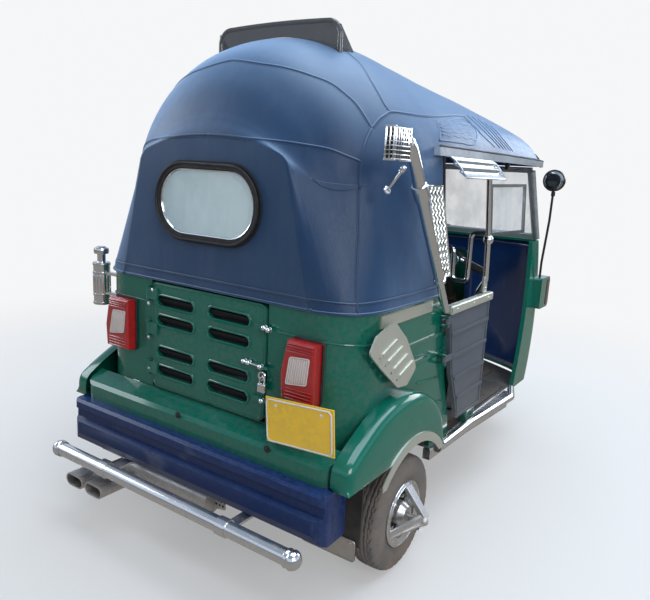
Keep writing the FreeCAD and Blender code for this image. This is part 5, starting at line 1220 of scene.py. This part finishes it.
def makeBarCaps(settings):
    caps = Store()
    y, z = settings["bar"]
    profile = [(-16, 25.4), (-16, 28.4), (-12, 29.4), (-8, 28.0), (-5, 26.6), (-2, 28.6)]
    profile += ball(31, (8, 24, 40, 56, 72, 89))
    for sign in (1, -1):
        caps.lathe(profile, (settings["barEnd"] * sign, y, z), (sign, 0, 0), 36)
    for x in settings["barCollars"]:
        caps.lathe([(-9, 26), (-9, 28.5), (0, 29.4), (9, 28.5), (9, 26)], (x, y, z), (1, 0, 0), 30)
    caps.piece("rearBarCaps", "chrome")


def makeGuard(settings):
    # Pierced silver sheet hung below the bumper; its holes are dark discs of painted shade.
    sheet, holes = Store(), Store()
    count = settings["guardHoles"]
    for number in range(count):
        x = settings["guardStart"] + number * settings["guardPitch"]
        for row in range(3):
            level = 222 + row * 15 - 10 * number / count
            holes.lathe([(0, 4.4), (0.9, 4.4), (0.9, 0)], (x + row % 2 * 7.8, -1203.1, level), (0, -1, 0), 10)
    sheet.plate(roundedOutline(settings["guard"], 9), facing(-1200), 3.0)
    sheet.tube([(-296, -1198, 270), (124, -1198, 260)], 6.5, 10)
    for x in settings["guardHangers"]:
        sheet.slab((x - 9, -1202, 255), (x + 9, -1196, 300), 2)
        bolt(sheet, (x, -1204, 262), 6)
    sheet.piece("bumperGuard", "dirtyChrome")
    holes.piece("bumperGuardHoles", "voidBlack")


def makeFlapTags(settings):
    tags = Store()
    for sign in (1, -1):
        low, high = settings["tag"]
        outline = roundedOutline([(x * sign, z) for x, z in rectangle(low, high)], 10)
        tags.plate(outline, facing(-1153.2), 1.6)
        tags.tube([(x, -1154, z) for x, z in outline], 2.2, 6, closed=True)
        for x in settings["tagRivets"]:
            bolt(tags, (x * sign, -1155, 246), 5)
    tags.piece("flapTags", "brushedSilver")


def makeBottleBands(settings):
    bands = Store()
    x, y = settings["bottle"]
    for level, radius in settings["bottleBands"]:
        profile = [(place, radius + out) for place, out in settings["bandProfile"]]
        bands.lathe(profile, (x, y, level), (0, 0, 1), 36)
    for place in circle((x, y, 0), 32.4, (1, 0, 0), (0, 1, 0), settings["bottleRibs"]):
        bands.tube([(place.x, place.y, 856), (place.x, place.y, 924)], 2.2, 6)
    cap = [(0, 27), (2, 28.4), (9, 28.8), (16, 28.4), (21, 27), (24, 22), (26, 12), (26.5, 0)]
    bands.lathe(cap, (x, y, 1010), (0, 0, 1), 32)
    bands.piece("bottleBands", "dirtyChrome")


for make in (makeLipBolts, makePlateRim, makeBarCaps, makeGuard, makeFlapTags, makeBottleBands):
    make(tail)
print("tail dressed")


# Chrome kit on the flanks: the stack's head, mesh over the strips, gutters and visors

flank = {
    "stackHead": ((634, -1150, 1418), (664, -1060, 1506)),
    "stackRod": ((601, -1061, 1334), (628, -1069, 1364), (655, -1077, 1395)),
    # corners of the pierced strip: rear top, front top, front foot, rear foot
    "strip": ((-808, 1348), (-700, 1348), (-566, 1032), (-664, 1032)), "stripX": 609.0, "stripRows": 26,
    "stripWires": 8, "stripSwing": 0.055, "stripDepth": 2.6,
    "gutter": ((611, -748), (611, -420), (610, -100), (596, 280), (570, 500), (550, 618)),
    "gutterTop": 1476.5,
    "visor": ((608, 1449), (632, 1434), (655, 1409), (676, 1381)), "visorEnds": (-664, -276),
}
# collars on the stack: profile, centre, axis
stackCollars = (
    (((-30, 18), (-28, 22.5), (-22, 24), (20, 25), (26, 24), (28, 19)),
     (646, -936, 1330), (0.02, -0.60, 0.80)),
    (((-8, 18), (-6, 21.5), (6, 21.5), (8, 18)), (631.5, -706, 1032), (0.05, -0.61, 0.79)),
    (((-7, 19), (-5, 23), (5, 23), (7, 19)), (650, -1052, 1467), (0, -0.98, 0.17)),
)


def makeStackHead(settings):
    # Black mesh in a chrome frame; the dark slabs inside it are painted shade.
    low, high = (Vector(corner) for corner in settings["stackHead"])
    dark = Store()
    dark.slab((low.x - 1.2, low.y + 4, low.z + 4), (high.x + 1.2, high.y - 4, high.z - 4), 1.5)
    dark.slab((low.x + 4, low.y - 1.2, low.z + 4), (high.x - 4, low.y + 8, high.z - 4), 1.5)
    dark.piece("stackMesh", "voidBlack")
    wires = Store()
    front = low.y - 1.6
    ups = [low.y + 3 + (high.y - low.y - 6) * number / 6 for number in range(7)]
    levels = [low.z + 3 + (high.z - low.z - 6) * number / 7 for number in range(8)]
    for x in (low.x - 1.6, high.x + 1.6):
        for y in ups:
            wires.tube([(x, y, low.z + 2), (x, y, high.z - 2)], 2.0, 6)
        for z in levels:
            wires.tube([(x, low.y + 2, z), (x, high.y - 2, z)], 1.8, 6)
    for z in levels:
        wires.tube([(low.x + 2, front, z), (high.x - 2, front, z)], 1.8, 6)
    for x in (low.x + 3, (low.x + high.x) / 2, high.x - 3):
        wires.tube([(x, front, low.z + 2), (x, front, high.z - 2)], 2.0, 6)
    for y in (low.y, high.y):
        for z in (low.z, high.z):
            wires.tube([(low.x - 1, y, z), (high.x + 1, y, z)], 3.0)
    return wires


def makeStackDress(settings):
    # The head with the stack's collars and the rod that carries it.
    wires = makeStackHead(settings)
    for profile, centre, axis in stackCollars:
        wires.lathe(profile, centre, axis, 30)
    wires.tube(settings["stackRod"], 4.5, 10)
    knob(wires, (656, -1078, 1397), 9.5, (0.66, -0.19, 0.73))
    wires.lathe([(-2, 13), (2, 13), (4, 9), (4, 4)], (600, -1060, 1333), (0.9, -0.1, 0.4), 20)
    wires.piece("stackDress", "chrome")


def makeStripDress(settings):
    # Crinkled bright mesh over each pierced strip, between two rolled edges.
    a, b, c, d = (Vector(corner) for corner in settings["strip"])
    store = Store()
    rows, wires = settings["stripRows"], settings["stripWires"]
    for number in range(wires):
        share = 0.06 + 0.88 * number / (wires - 1)
        path = []
        for row in range(rows + 1):
            across = share + settings["stripSwing"] * (1 if (row + number) % 2 else -1)
            y, z = a.lerp(d, row / rows).lerp(b.lerp(c, row / rows), across)
            path.append((settings["stripX"] + row % 2 * settings["stripDepth"], y, z))
        store.tube(path, 2.3, 6)
    for start, end in ((a, d), (b, c), (a, b), (d, c)):
        store.tube([(settings["stripX"] - 0.5, *start), (settings["stripX"] - 0.5, *end)], 4.2)
    store.mirror()
    store.piece("stripMesh", "chrome")


def makeGutterDress(settings):
    lines, visor = Store(), Store()
    lines.tube(fine([(x, y, settings["gutterTop"]) for x, y in settings["gutter"]], 40), 3.6)
    lines.mirror()
    lines.piece("gutterRubber", "blackRubber")
    start, end = settings["visorEnds"]
    visor.tube([(676, start, 1380), (676, end, 1380)], 3.4)
    for y in settings["visorEnds"]:
        visor.tube([(x, y, z) for x, z in settings["visor"]], 3.0)
    visor.mirror()
    visor.piece("visorRims", "eaveWhite")


for make in (makeStackDress, makeStripDress, makeGutterDress):
    make(flank)


# Half-doors, beads on the panels, cheek lamps and mirrors

sideDress = {
    "cap": ((593.2, -551, 881.2), (624.8, -125, 914.8)), "capBolts": (-500, -340, -180),
    "doorBead": ((-532, 866), (-474, 640), (-394, 486), (-386, 440), (-150, 434), (-148, 866)),
    "panelBeads": (((-772, 766), (-556, 731)), ((-716, 654), (-522, 632)), ((-574, 537), (-486, 525))),
    "cornerBead": ((310, -1175.5, 876), (396, -1175.5, 876), (450, -1174, 875), (505, -1158, 873),
                   (548, -1128, 870), (574, -1086, 866), (584, -1040, 860)),
    "bracket": ((594, -199, 917), (607, -163, 984)), "bracketBolts": (935, 966),
    # cheek lamps: low and high corner of the lens that looks forward and of the one at its side
    "cheekFront": ((562, 724), (606, 872)), "cheekSide": ((738, 730), (784, 866)), "mirror": (596, 1384),
}


def makeDoorDress(settings):
    # Bright cap, pull knob and pressed edge of each half-door; they swing with it.
    for name, isLeft in (("left", True), ("right", False)):
        cap, bead = Store(), Store()
        cap.slab(*settings["cap"], 6)
        knob(cap, (612, -116, 898), 8.5, (0, 1, 0))
        for y in settings["capBolts"]:
            bolt(cap, (624.6, y, 898), 5, (1, 0, 0))
        bead.tube([(615, y, z) for y, z in settings["doorBead"]], 3.0)
        if isLeft:
            cap.flip()
            bead.flip()
        cap.piece("doorCap" + name.title(), "champagne", "door_" + name)
        bead.piece("doorBead" + name.title(), "doorGrey", "door_" + name)


def makePanelDress(settings):
    bright, beads = Store(), Store()
    bright.slab(*settings["bracket"], 3)
    for z in settings["bracketBolts"]:
        bolt(bright, (607, -181, z), 6, (1, 0, 0))
    bright.mirror()
    bright.piece("postBrackets", "champagne")
    for path in settings["panelBeads"]:
        beads.tube([(586, y, z) for y, z in path], 4.2)
    beads.mirror()
    for sign in (1, -1):
        beads.tube(fine(mirrored(settings["cornerBead"], sign), 14), 3.6)
    beads.piece("panelBeads", "bodyGreen")


def makeCheekLamps(settings):
    lens, rim = Store(), Store()
    around = roundedOutline(rectangle(*settings["cheekSide"]), 12)
    for sign in (1, -1):
        outline = roundedOutline([(x * sign, z) for x, z in rectangle(*settings["cheekFront"])], 12)
        lens.plate(outline, lambda across, up, depth: Vector((across, 789.5 + depth, up)), 4.0, 3.0)
        rim.tube([(x, 791, z) for x, z in outline], 2.4, 6, closed=True)
        lens.plate(around, lambda across, up, depth: Vector(((611.5 + depth) * sign, across, up)), 2.0, 1.6)
        rim.tube([(612.5 * sign, y, z) for y, z in around], 1.8, 6, closed=True)
    lens.piece("cheekLenses", "lampDeep")
    rim.piece("cheekRims", "blackRubber")


def makeMirrorDress(settings):
    faces, rims = Store(), Store()
    x, z = settings["mirror"]
    glass = [(0, 50), (0.8, 49), (2.0, 34), (2.6, 16), (2.8, 0)]
    for sign in (1, -1):
        faces.lathe(glass, (x * sign, 683.6, z), (0, -1, 0), 40)
        rims.tube(circle((x * sign, 683.4, z), 52, (1, 0, 0), (0, 0, 1), 40), 3.2, closed=True)
        rims.lathe([(-2, 30), (4, 28), (9, 20), (12, 8), (12.5, 0)], (x * sign, 700, z), (0, 1, 0), 30)
        rims.lathe([(-12, 7), (-10, 10), (10, 10), (12, 7)], ((x + 1) * sign, 699, 1316), (0, 0, 1), 20)
    faces.piece("mirrorGlasses", "mirrorGlass")
    rims.piece("mirrorRims", "mirrorBlack")


for make in (makeDoorDress, makePanelDress, makeCheekLamps, makeMirrorDress):
    make(sideDress)
print("flanks dressed")


# Cab: lining of the cowl

cab = {
    # three sections below the top: drop, beyond the flank, rear, eave, crown, shoulder radius
    "sections": ((-738, 0, 430, 600, 905, 150), (-368, -7, 530, 680, 905, 130), (0, -37, 610, 700, 872, 110)),
    "top": 1068.0, "flank": 585.0, "inset": 22.5, "low": 346.0, "high": 1054.0, "levels": 22,
    "sideSteps": 10, "shoulderSteps": 8, "crownSteps": 10,
    # opening over the steering column
    "columnHalf": 112, "columnY": 700, "columnTop": 968,
}


def cowlLevel(level, settings):
    # Sizes of the cowl at a height, curved through its three sections.
    drop = level - settings["top"]
    a, b, c = settings["sections"]
    first = (drop - b[0]) * (drop - c[0]) / ((a[0] - b[0]) * (a[0] - c[0]))
    second = (drop - a[0]) * (drop - c[0]) / ((b[0] - a[0]) * (b[0] - c[0]))
    third = (drop - a[0]) * (drop - b[0]) / ((c[0] - a[0]) * (c[0] - b[0]))
    return [pa * first + pb * second + pc * third for pa, pb, pc in zip(a[1:], b[1:], c[1:])]


def makeLining(settings):
    inset, levels = settings["inset"], settings["levels"]
    verts = []
    for step in range(levels):
        level = settings["low"] + (settings["high"] - settings["low"]) * step / (levels - 1)
        beyond, rear, eave, crown, shoulder = cowlLevel(level, settings)
        half = settings["flank"] + beyond - inset
        row = (level, half, half, eave, crown - inset, shoulder - inset * 0.5)
        # a section of the hood laid flat
        verts += [Vector((x, y, z)) * mm for x, z, y in hoodSection(row, {**settings, "hem": rear + 12})]
    faces = []
    for face in gridFaces(levels, len(verts) // levels):
        middle = sum((verts[number] for number in face), Vector()) / 4 / mm
        isAside = abs(middle.x) >= settings["columnHalf"]
        if isAside or middle.y <= settings["columnY"] or middle.z >= settings["columnTop"]:
            faces.append(face)
    obj = meshObject("cowlLining", verts, faces, "navyPanel", "vehicle")
    addModifier(obj, "SOLIDIFY", thickness=0.0022, offset=0.0)


makeLining(cab)


# Controls and fork springs, placed about the steering axis whose foot is the front wheel's centre

controls = {
    "hub": (0.0, 1175.0, 207.0), "rake": 30.0,
    # grip from its start to its end, the lever's clamp, its tip and its line
    "grip": ((248, -213, 950), (352, -259, 950), (212, -179, 947), (352, -223, 934),
             (212, -176, 948), (246, -176, 940), (300, -196, 934), (350, -222, 934)),
    "pod": (120, 596, 922), "podLook": (0.15, -0.86, 0.49), "spring": (84, 78, 186),
}


def steered(across, ahead, up):
    turn = math.radians(controls["rake"])
    x, y, z = controls["hub"]
    return Vector((x + across, y + ahead * math.cos(turn) - up * math.sin(turn),
                   z + ahead * math.sin(turn) + up * math.cos(turn)))


def makeGrips(settings):
    rubber, levers = Store(), Store()
    for sign in (1, -1):
        start, end, clamp, tip, *lever = [steered(x * sign, y, z) for x, y, z in settings["grip"]]
        length = (end - start).length
        way = (end - start).normalized()
        profile = [(-6, 11.5), (-5, 22), (0, 22), (3, 18)]
        for place in (6 + (length - 16) * number / 12 for number in range(12)):
            profile += [(place, 17.5), (place + 3, 18.6), (place + 6, 17.5)]
        profile += [(length, 19), (length + 3, 21), (length + 7, 19), (length + 9, 9), (length + 9.5, 0)]
        rubber.lathe(profile, start, way, 26)
        levers.tube(fine(lever, 14), 5.2)
        knob(levers, tip, 7.5, way)
        levers.lathe([(-13, 13), (-12, 16.5), (12, 16.5), (13, 13)], clamp, way, 20)
    rubber.piece("grips", "blackRubber", "steering")
    levers.piece("levers", "dirtyChrome", "steering")


def makeInstrument(settings):
    # Round pod on a bracket from the bar, its dial towards the driver.
    centre, look = Vector(settings["pod"]), Vector(settings["podLook"]).normalized()
    pod, dial, ring = Store(), Store(), Store()
    shell = [(-34, 0), (-34, 20), (-26, 33), (-4, 38), (2, 40), (6, 40), (8, 37), (6, 35.5)]
    pod.lathe(shell, centre, look, 36)
    pod.tube([centre - look * 24, (136, 640, 948), (140, 655, 956)], 8, 10)
    pod.piece("instrumentPod", "mirrorBlack", "steering")
    dial.lathe([(5.0, 36), (5.2, 30), (5.8, 14), (6, 0)], centre, look, 36)
    dial.piece("instrumentDial", "dialTeal", "steering")
    ring.tube(circle(centre + look * 7, 38, *sideways(look), 36), 2.6, closed=True)
    ring.piece("instrumentRing", "chrome", "steering")


def makeSprings(settings):
    coils = Store()
    across, foot, head = settings["spring"]
    axis = steered(0, 0, 1) - steered(0, 0, 0)
    for sign in (1, -1):
        coils.coil(steered(across * sign, 0, foot), steered(across * sign, 0, head), 21.5, 3.4, 7)
        for level in (foot - 9, head + 1):
            coils.lathe([(0, 18.5), (0, 25), (6, 25), (6, 18.5)], steered(across * sign, 0, level), axis, 24)
    coils.piece("forkSprings", "dirtyChrome", "steering")


makeGrips(controls)
makeInstrument(controls)


# Pedal, starter lever, mats, step treads, headlamps and wiper

fittings = {
    # low and high corner of each mat in plan
    "mats": (((312, -96), (552, 400)), ((-552, -96), (-312, 400)), ((-300, 290), (300, 640)),
             ((-546, -372), (546, -232))),
    "matLow": 342.2, "matTop": 346.4, "ribPitch": 15, "treads": 17, "treadPitch": 26,
    "treadReach": (566, 572), "headlamp": (300.0, 760.0),
    "pedalArm": ((190, 700, 352), (196, 668, 366), (206, 610, 418)), "pedalTilt": 38,
    "pedalPad": ((166, 580, 410), (246, 640, 424)), "pedalRibs": range(172, 257, 17),
    "pedalFoot": ((160, 690, 342.4), (222, 740, 356)), "starterHandle": (-300, 24, 652),
    "starter": ((-292, 150, 350), (-300, 130, 420), (-302, 60, 560), (-300, 30, 640)),
    # wiper: foot of the screen, its lean, then across, up and off the glass
    "screen": (776, 1079), "screenLean": 21, "wiperArm": ((40, 6, 18), (-110, 40, 15), (-180, 52, 11)),
    "wiperBlade": ((-330, 58, 8), (-180, 52, 9.5), (-30, 46, 8)),
}


def makePedal(settings):
    # Ribbed brake pedal on its arm and foot, and the starter lever beside the seat.
    pedal = Store()
    pedal.tube(fine(settings["pedalArm"], 14), 8, 10)
    pedal.slab(*settings["pedalPad"], 5, Matrix.Rotation(math.radians(settings["pedalTilt"]), 3, "X"))
    for x in settings["pedalRibs"]:
        pedal.tube([(x, 590, 424), (x, 620, 447)], 2.6, 6)
    pedal.slab(*settings["pedalFoot"], 4)
    pedal.tube(fine(settings["starter"], 30), 9, 10)
    handle = [(-34, 10), (-30, 15), (0, 16.5), (28, 14), (34, 8), (35, 0)]
    pedal.lathe(handle, settings["starterHandle"], (0, -0.3, 0.95), 24)
    pedal.piece("pedalAndLever", "blackRubber")


def makeMats(settings):
    mat = Store()
    top, pitch = settings["matTop"], settings["ribPitch"]
    for low, high in settings["mats"]:
        mat.slab((*low, settings["matLow"]), (*high, top), 1.6)
        if high[0] - low[0] > high[1] - low[1]:
            for y in range(low[1] + pitch, high[1] - pitch + 1, pitch):
                mat.tube([(low[0] + 8, y, top), (high[0] - 8, y, top)], 2.6, 6, domed=False)
        else:
            for x in range(low[0] + pitch, high[0] - pitch + 1, pitch):
                mat.tube([(x, low[1] + 8, top), (x, high[1] - 8, top)], 2.6, 6, domed=False)
    mat.piece("floorMats", "matRubber")


def makeTreads(settings):
    treads = Store()
    inner, edge = settings["treadReach"]
    for sign in (1, -1):
        for number in range(settings["treads"]):
            y = -200 + number * settings["treadPitch"]
            # the step widens to its middle and narrows again
            half = 599 + (29 * (y + 220) / 440 if y < 220 else 29 - 28 * (y - 220) / 110)
            treads.tube([(inner * sign, y, 342.6), ((half - 8) * sign, y, 342.6)], 2.4, 6)
        treads.tube([(edge * sign, -540, 343), (edge * sign, 322, 343)], 3.2)
    treads.piece("stepTreads", "dirtyChrome")


def makeHeadlamps(settings):
    lens, rims = Store(), Store()
    across, up = settings["headlamp"]
    glass = ((908, 83.4), (914, 82), (921, 75), (926, 62), (930, 42), (932, 20), (932.5, 0))
    rim = ((898, 83), (899, 88), (905, 91), (911, 90), (915, 86), (912, 83))
    for sign in (1, -1):
        centre = (across * sign, 0, up)
        lens.lathe(glass, centre, (0, 1, 0), 48)
        rims.lathe(rim, centre, (0, 1, 0), 48)
        for place in circle((across * sign, 909, up), 88, (0, 0, 1), (-1, 0, 0), 3):
            bolt(rims, place, 4, (0, 1, 0))
    lens.piece("headlampLenses", "lampGlass")
    rims.piece("headlampRims", "chrome")


def makeWiper(settings):
    # It rests along the foot of the screen.
    lean = math.radians(settings["screenLean"])
    footY, footZ = settings["screen"]

    def onScreen(x, high, off):
        return Vector((x, footY - high * math.sin(lean) + off * math.cos(lean),
                       footZ + high * math.cos(lean) + off * math.sin(lean)))

    wiper = Store()
    wiper.lathe([(0, 11), (4, 12), (12, 10), (15, 5), (16, 0)], onScreen(40, 6, 7), (0, 0.93, 0.36), 20)
    wiper.tube([onScreen(*place) for place in settings["wiperArm"]], 3.6)
    wiper.tube([onScreen(*place) for place in settings["wiperBlade"]], 4.2)
    wiper.piece("wiper", "blackRubber")


for make in (makePedal, makeMats, makeTreads, makeHeadlamps, makeWiper):
    make(fittings)
makeSprings(controls)
print("cab dressed")


# Seats: each one swells from its plain form, then gets its channels and piping

seats = {
    "bench": {"name": "passengerCushion", "node": "passenger_seat", "low": (-517, -856, 626),
              "high": (517, -334, 726), "voxel": 0.014, "cap": 13.0, "round": 30, "fill": 0.75, "top": 739,
              "edge": 46, "channels": range(-440, 441, 110)},
    "benchBack": {"name": "passengerBack", "node": "passenger_backrest", "low": (-517, -60, 626),
                  "high": (517, 4, 1120), "voxel": 0.014, "cap": 13.0, "round": 22, "fill": 0.7, "rear": -62,
                  "slant": (-874, -938), "sides": (-519, 519), "channels": range(-440, 441, 110)},
    "driver": {"name": "driverCushion", "node": "driver_seat", "low": (-224, -24, 606),
               "high": (274, 252, 678), "voxel": 0.010, "cap": 9.0, "round": 24, "fill": 0.75, "top": 689,
               "edge": 30, "channels": range(-135, 186, 80)},
    "driverBack": {"name": "driverBackPad", "node": "driver_seat", "low": (-204, -34, 650),
                   "high": (254, 4, 920), "voxel": 0.010, "cap": 8.0, "round": 16, "fill": 0.7, "rear": -36,
                   "slant": (-34, -70), "sides": (-209, 250), "channels": range(-135, 186, 80)},
}
swelling = {
    "frames": 20, "cells": 24,
    "cloth": {"quality": 4, "mass": 0.4, "tension_stiffness": 12, "compression_stiffness": 12,
              "bending_stiffness": 1.2, "use_pressure": True, "uniform_pressure_force": 4.0},
}


def roundBox(settings, cells):
    # Closed box of even cells with its corners rounded.
    low, high = Vector(settings["low"]), Vector(settings["high"])
    size, middle = high - low, (low + high) / 2
    core = size / 2 - Vector([settings["round"]] * 3)
    work = bmesh.new()
    bmesh.ops.create_cube(work, size=1.0)
    bmesh.ops.subdivide_edges(work, edges=work.edges[:], cuts=cells, use_grid_fill=True)
    for vert in work.verts:
        place = vert.co * size
        inner = Vector([max(-reach, min(reach, value)) for reach, value in zip(core, place)])
        away = place - inner
        vert.co = inner + away.normalized() * min(away.length, settings["round"]) + middle
    mesh = bpy.data.meshes.new(settings["name"])
    faces = [[vert.index for vert in face.verts] for face in work.faces]
    mesh.from_pydata([vert.co * mm for vert in work.verts], [], faces)
    work.free()
    return mesh


def evaluated(obj):
    # The object's mesh with its modifiers applied.
    graph = bpy.context.evaluated_depsgraph_get()
    mesh = bpy.data.meshes.new_from_object(obj.evaluated_get(graph))
    obj.modifiers.clear()
    return mesh


def swell(obj, settings):
    # Cloth inflated a little under pressure; how far a point moves is capped.
    addModifier(obj, "REMESH", mode="VOXEL", voxel_size=settings["voxel"], use_smooth_shade=True)
    obj.data = evaluated(obj)
    start = [vert.co.copy() for vert in obj.data.vertices]
    cloth = addModifier(obj, "CLOTH").settings
    for key, value in swelling["cloth"].items():
        setattr(cloth, key, value)
    cloth.effector_weights.gravity = 0
    scene = bpy.context.scene
    for number in range(swelling["frames"]):
        scene.frame_set(number + 1)
    moved = evaluated(obj)
    scene.frame_set(1)
    cap = settings["cap"] * mm
    for vert, before in zip(moved.vertices, start):
        shift = vert.co - before
        if shift.length > cap:
            vert.co = before + shift * (cap / shift.length)
    obj.data = moved


def groove(distance, wide, deep):
    return -deep * math.exp(-(distance / wide) ** 2)


def shapeCushion(point, settings):
    # Sewn channels along the seat's upper side and slow unevenness between them.
    x, y, z = point
    low, high = settings["low"], settings["high"]
    midY, midZ = (low[1] + high[1]) / 2, (low[2] + high[2]) / 2
    if z > midZ:
        inside = max(0.0, 1 - (abs(x) / 517) ** 6) * max(0.0, 1 - (abs(y - midY) / (high[1] - midY)) ** 6)
        share = (z - midZ) / (high[2] - midZ)
        sink = sum(groove(x - channel, 7, 7) for channel in settings["channels"])
        sink += groove(y - (high[1] - settings["edge"]), 6, 5)
        z += share * (inside * sink + 2.0 * noise.noise(Vector((x * 0.006, y * 0.008, 1.7))))
    return Vector((x, y, max(low[2] - 5.5, min(z, settings["top"]))))


def shapeBack(point, settings):
    # Lays an upright pad along the seat back's slant; its face looks forward.
    x, y, z = point
    lowZ, highZ = settings["low"][2], settings["high"][2]
    midZ = (lowZ + highZ) / 2
    foot, head = settings["slant"]
    if y > -20:
        sink = sum(groove(x - channel, 7, 7) for channel in settings["channels"])
        sink += groove(z - (highZ - 70), 6, 5)
        y += sink * min(1.0, (y + 20) / 20) * max(0.0, 1 - (abs(z - midZ) / (highZ - midZ)) ** 8)
    y = max(settings["rear"], min(7, y)) + foot + (head - foot) * (z - lowZ) / (highZ - lowZ)
    left, right = settings["sides"]
    return Vector((max(left, min(right, x)), y, z))


def makeSeat(settings, shape):
    obj = link(bpy.data.objects.new(settings["name"], roundBox(settings, swelling["cells"])))
    swell(obj, settings)
    for vert in obj.data.vertices:
        vert.co = shape(vert.co / mm, settings) * mm
    obj.data.materials.clear()
    obj.data.materials.append(finishes["seatVinyl"])
    obj.data.shade_smooth()
    addModifier(obj, "SUBSURF", levels=1, render_levels=1)
    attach(obj, "vehicle")
    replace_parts(obj, settings["node"])


def makePiping(name, path):
    store = Store()
    store.tube(path, 3.4, closed=True)
    store.piece(name, "pipingGrey")


for name, shape in (("bench", shapeCushion), ("benchBack", shapeBack), ("driver", shapeCushion),
                    ("driverBack", shapeBack)):
    makeSeat(seats[name], shape)
# name, low and high corner in plan, level, corner radius
pipingTable = (("benchPiping", (-514, -853), (514, -337), 722, 34),
               ("driverPiping", (-222, -21), (272, 249), 676, 26))
for name, low, high, level, rounding in pipingTable:
    makePiping(name, [(x, y, level) for x, y in roundedOutline(rectangle(low, high), rounding, 6)])
backOutline = roundedOutline(rectangle((-510, 634), (510, 1112)), 26, 6)
makePiping("backPiping", [(x, -870 - 64 * (z - 626) / 494, z) for x, z in backOutline])
print("seats padded")


# Tyres with a worn cross-ply tread, and wheel dress

tyre = {
    "around": 216, "groove": 4.6, "grooveLines": (9.0, 23.0), "shoulder": 27, "repeats": 36,
    # half of the profile: place along the axle and radius, from the bead to the middle of the tread
    "half": ((40, 104), (42, 112), (46, 119), (50, 131), (52.6, 145), (53, 158), (52.2, 170), (50.2, 181),
             (48.4, 186), (47.8, 189.5), (46.2, 194), (43.4, 199.5), (40.6, 202.6), (36.5, 204.4),
             (32.5, 205.4), (28.5, 206.1), (25.0, 206.5), (21.5, 206.8), (18, 206.9), (14.5, 207),
             (11, 207), (7.5, 207), (4, 207), (0, 207)),
}
wheel = {"track": 575, "rearY": -825, "frontY": 1175, "level": 207, "nutCircle": 62, "nuts": 5,
         # place along the axle, radius and thickness of the trim ring's rolled edges
         "rings": ((57.5, 110.5, 1.6), (51, 117, 2.2))}


def treadDepth(axial, angle, settings):
    # Share of the groove's depth: zigzag grooves round the crown and slanting notches on the shoulders.
    reach = abs(axial)
    turn = angle * settings["repeats"] / math.tau + (0.5 if axial < 0 else 0.0)
    zig = abs(turn % 1.0 * 2 - 1)
    depth = max(1.0 - abs(reach - line - 4.0 * (zig - 0.5)) / 3.4 for line in settings["grooveLines"])
    if reach > settings["shoulder"]:
        slant = (turn + (reach - settings["shoulder"]) * 0.018) % 1.0
        depth = max(depth, min(1.0, (0.17 - abs(slant - 0.5)) * 9.0) * (1.0 if reach < 47 else 0.55))
    return max(0.0, min(1.0, depth * 1.6))


def treadPoint(axial, radius, angle, settings):
    # Worn flat a little unevenly, with nicks in the blocks and fine ribs on the side wall.
    if radius > 184:
        wear = noise.noise(Vector((axial * 0.08, math.cos(angle) * 9, math.sin(angle) * 9)))
        radius -= settings["groove"] * treadDepth(axial, angle, settings) + 0.5 * abs(wear)
    elif 140 < radius < 176:
        axial *= 1.0 - 0.004 * abs(math.sin(angle * 54))
    return axial, radius


def makeTyre(name, node, body, centre, settings):
    half = settings["half"]
    profile = [(-x, radius) for x, radius in half] + list(reversed(half[:-1]))
    verts = []
    for angle in (math.tau * step / settings["around"] for step in range(settings["around"])):
        for point in profile:
            axial, reach = treadPoint(*point, angle, settings)
            away = Vector((axial, reach * math.cos(angle), reach * math.sin(angle)))
            verts.append((Vector(centre) + away) * mm)
    faces = gridFaces(settings["around"], len(profile), closedAcross=True, closedAlong=True)
    obj = meshObject(name, verts, faces, "tyreRubber", body)
    cleanMesh(obj.data, 0.0, 38)
    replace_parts(obj, node)


def nutPlaces(x, y):
    reach, level = wheel["nutCircle"], wheel["level"]
    angles = [math.tau * (number + 0.5) / wheel["nuts"] for number in range(wheel["nuts"])]
    return [(x, y + reach * math.cos(angle), level + reach * math.sin(angle)) for angle in angles]


def makeRearWheel(name, sign):
    # Tyre, rolled edges of the trim ring, wheel nuts, valve and a dark dish of painted shade behind the
    # spokes.
    body, y, level = "rear_wheel_" + name, wheel["rearY"], wheel["level"]
    x = wheel["track"] * sign
    makeTyre("rearTyre" + name.title(), "rear_tyre_" + name, body, (x, y, level), tyre)
    dress, dark = Store(), Store()
    for place, radius, thick in wheel["rings"]:
        dress.tube(circle((x + place * sign, y, level), radius, (0, 1, 0), (0, 0, 1), 48), thick, closed=True)
    for centre in nutPlaces(x + 8 * sign, y):
        dress.lathe([(0, 10), (3, 10), (3, 8), (13, 8), (15, 5), (15.5, 0)], centre, (sign, 0, 0), 6)
    dress.lathe([(0, 4), (14, 4), (15, 5), (22, 5), (23, 2), (23, 0)], (x + 16 * sign, y, level + 84),
                (sign, 0, 0), 14)
    dress.piece("wheelDress" + name.title(), "chrome", body)
    dark.lathe([(9.0, 43), (9.4, 60), (9.0, 88)], (x, y, level), (sign, 0, 0), 40)
    dark.piece("wheelDish" + name.title(), "voidBlack", body)


def makeFrontWheel():
    makeTyre("frontTyre", "front_tyre", "front_wheel", (0, wheel["frontY"], wheel["level"]), tyre)
    nuts = Store()
    for place, sign in ((8, 1), (-11, -1)):
        for centre in nutPlaces(place, wheel["frontY"]):
            nuts.lathe([(0, 9), (2, 9), (2, 7), (9, 7), (11, 4), (11.5, 0)], centre, (sign, 0, 0), 6)
    nuts.piece("frontWheelNuts", "dirtyChrome", "front_wheel")


makeRearWheel("left", -1)
makeRearWheel("right", 1)
makeFrontWheel()
print("tyres built")
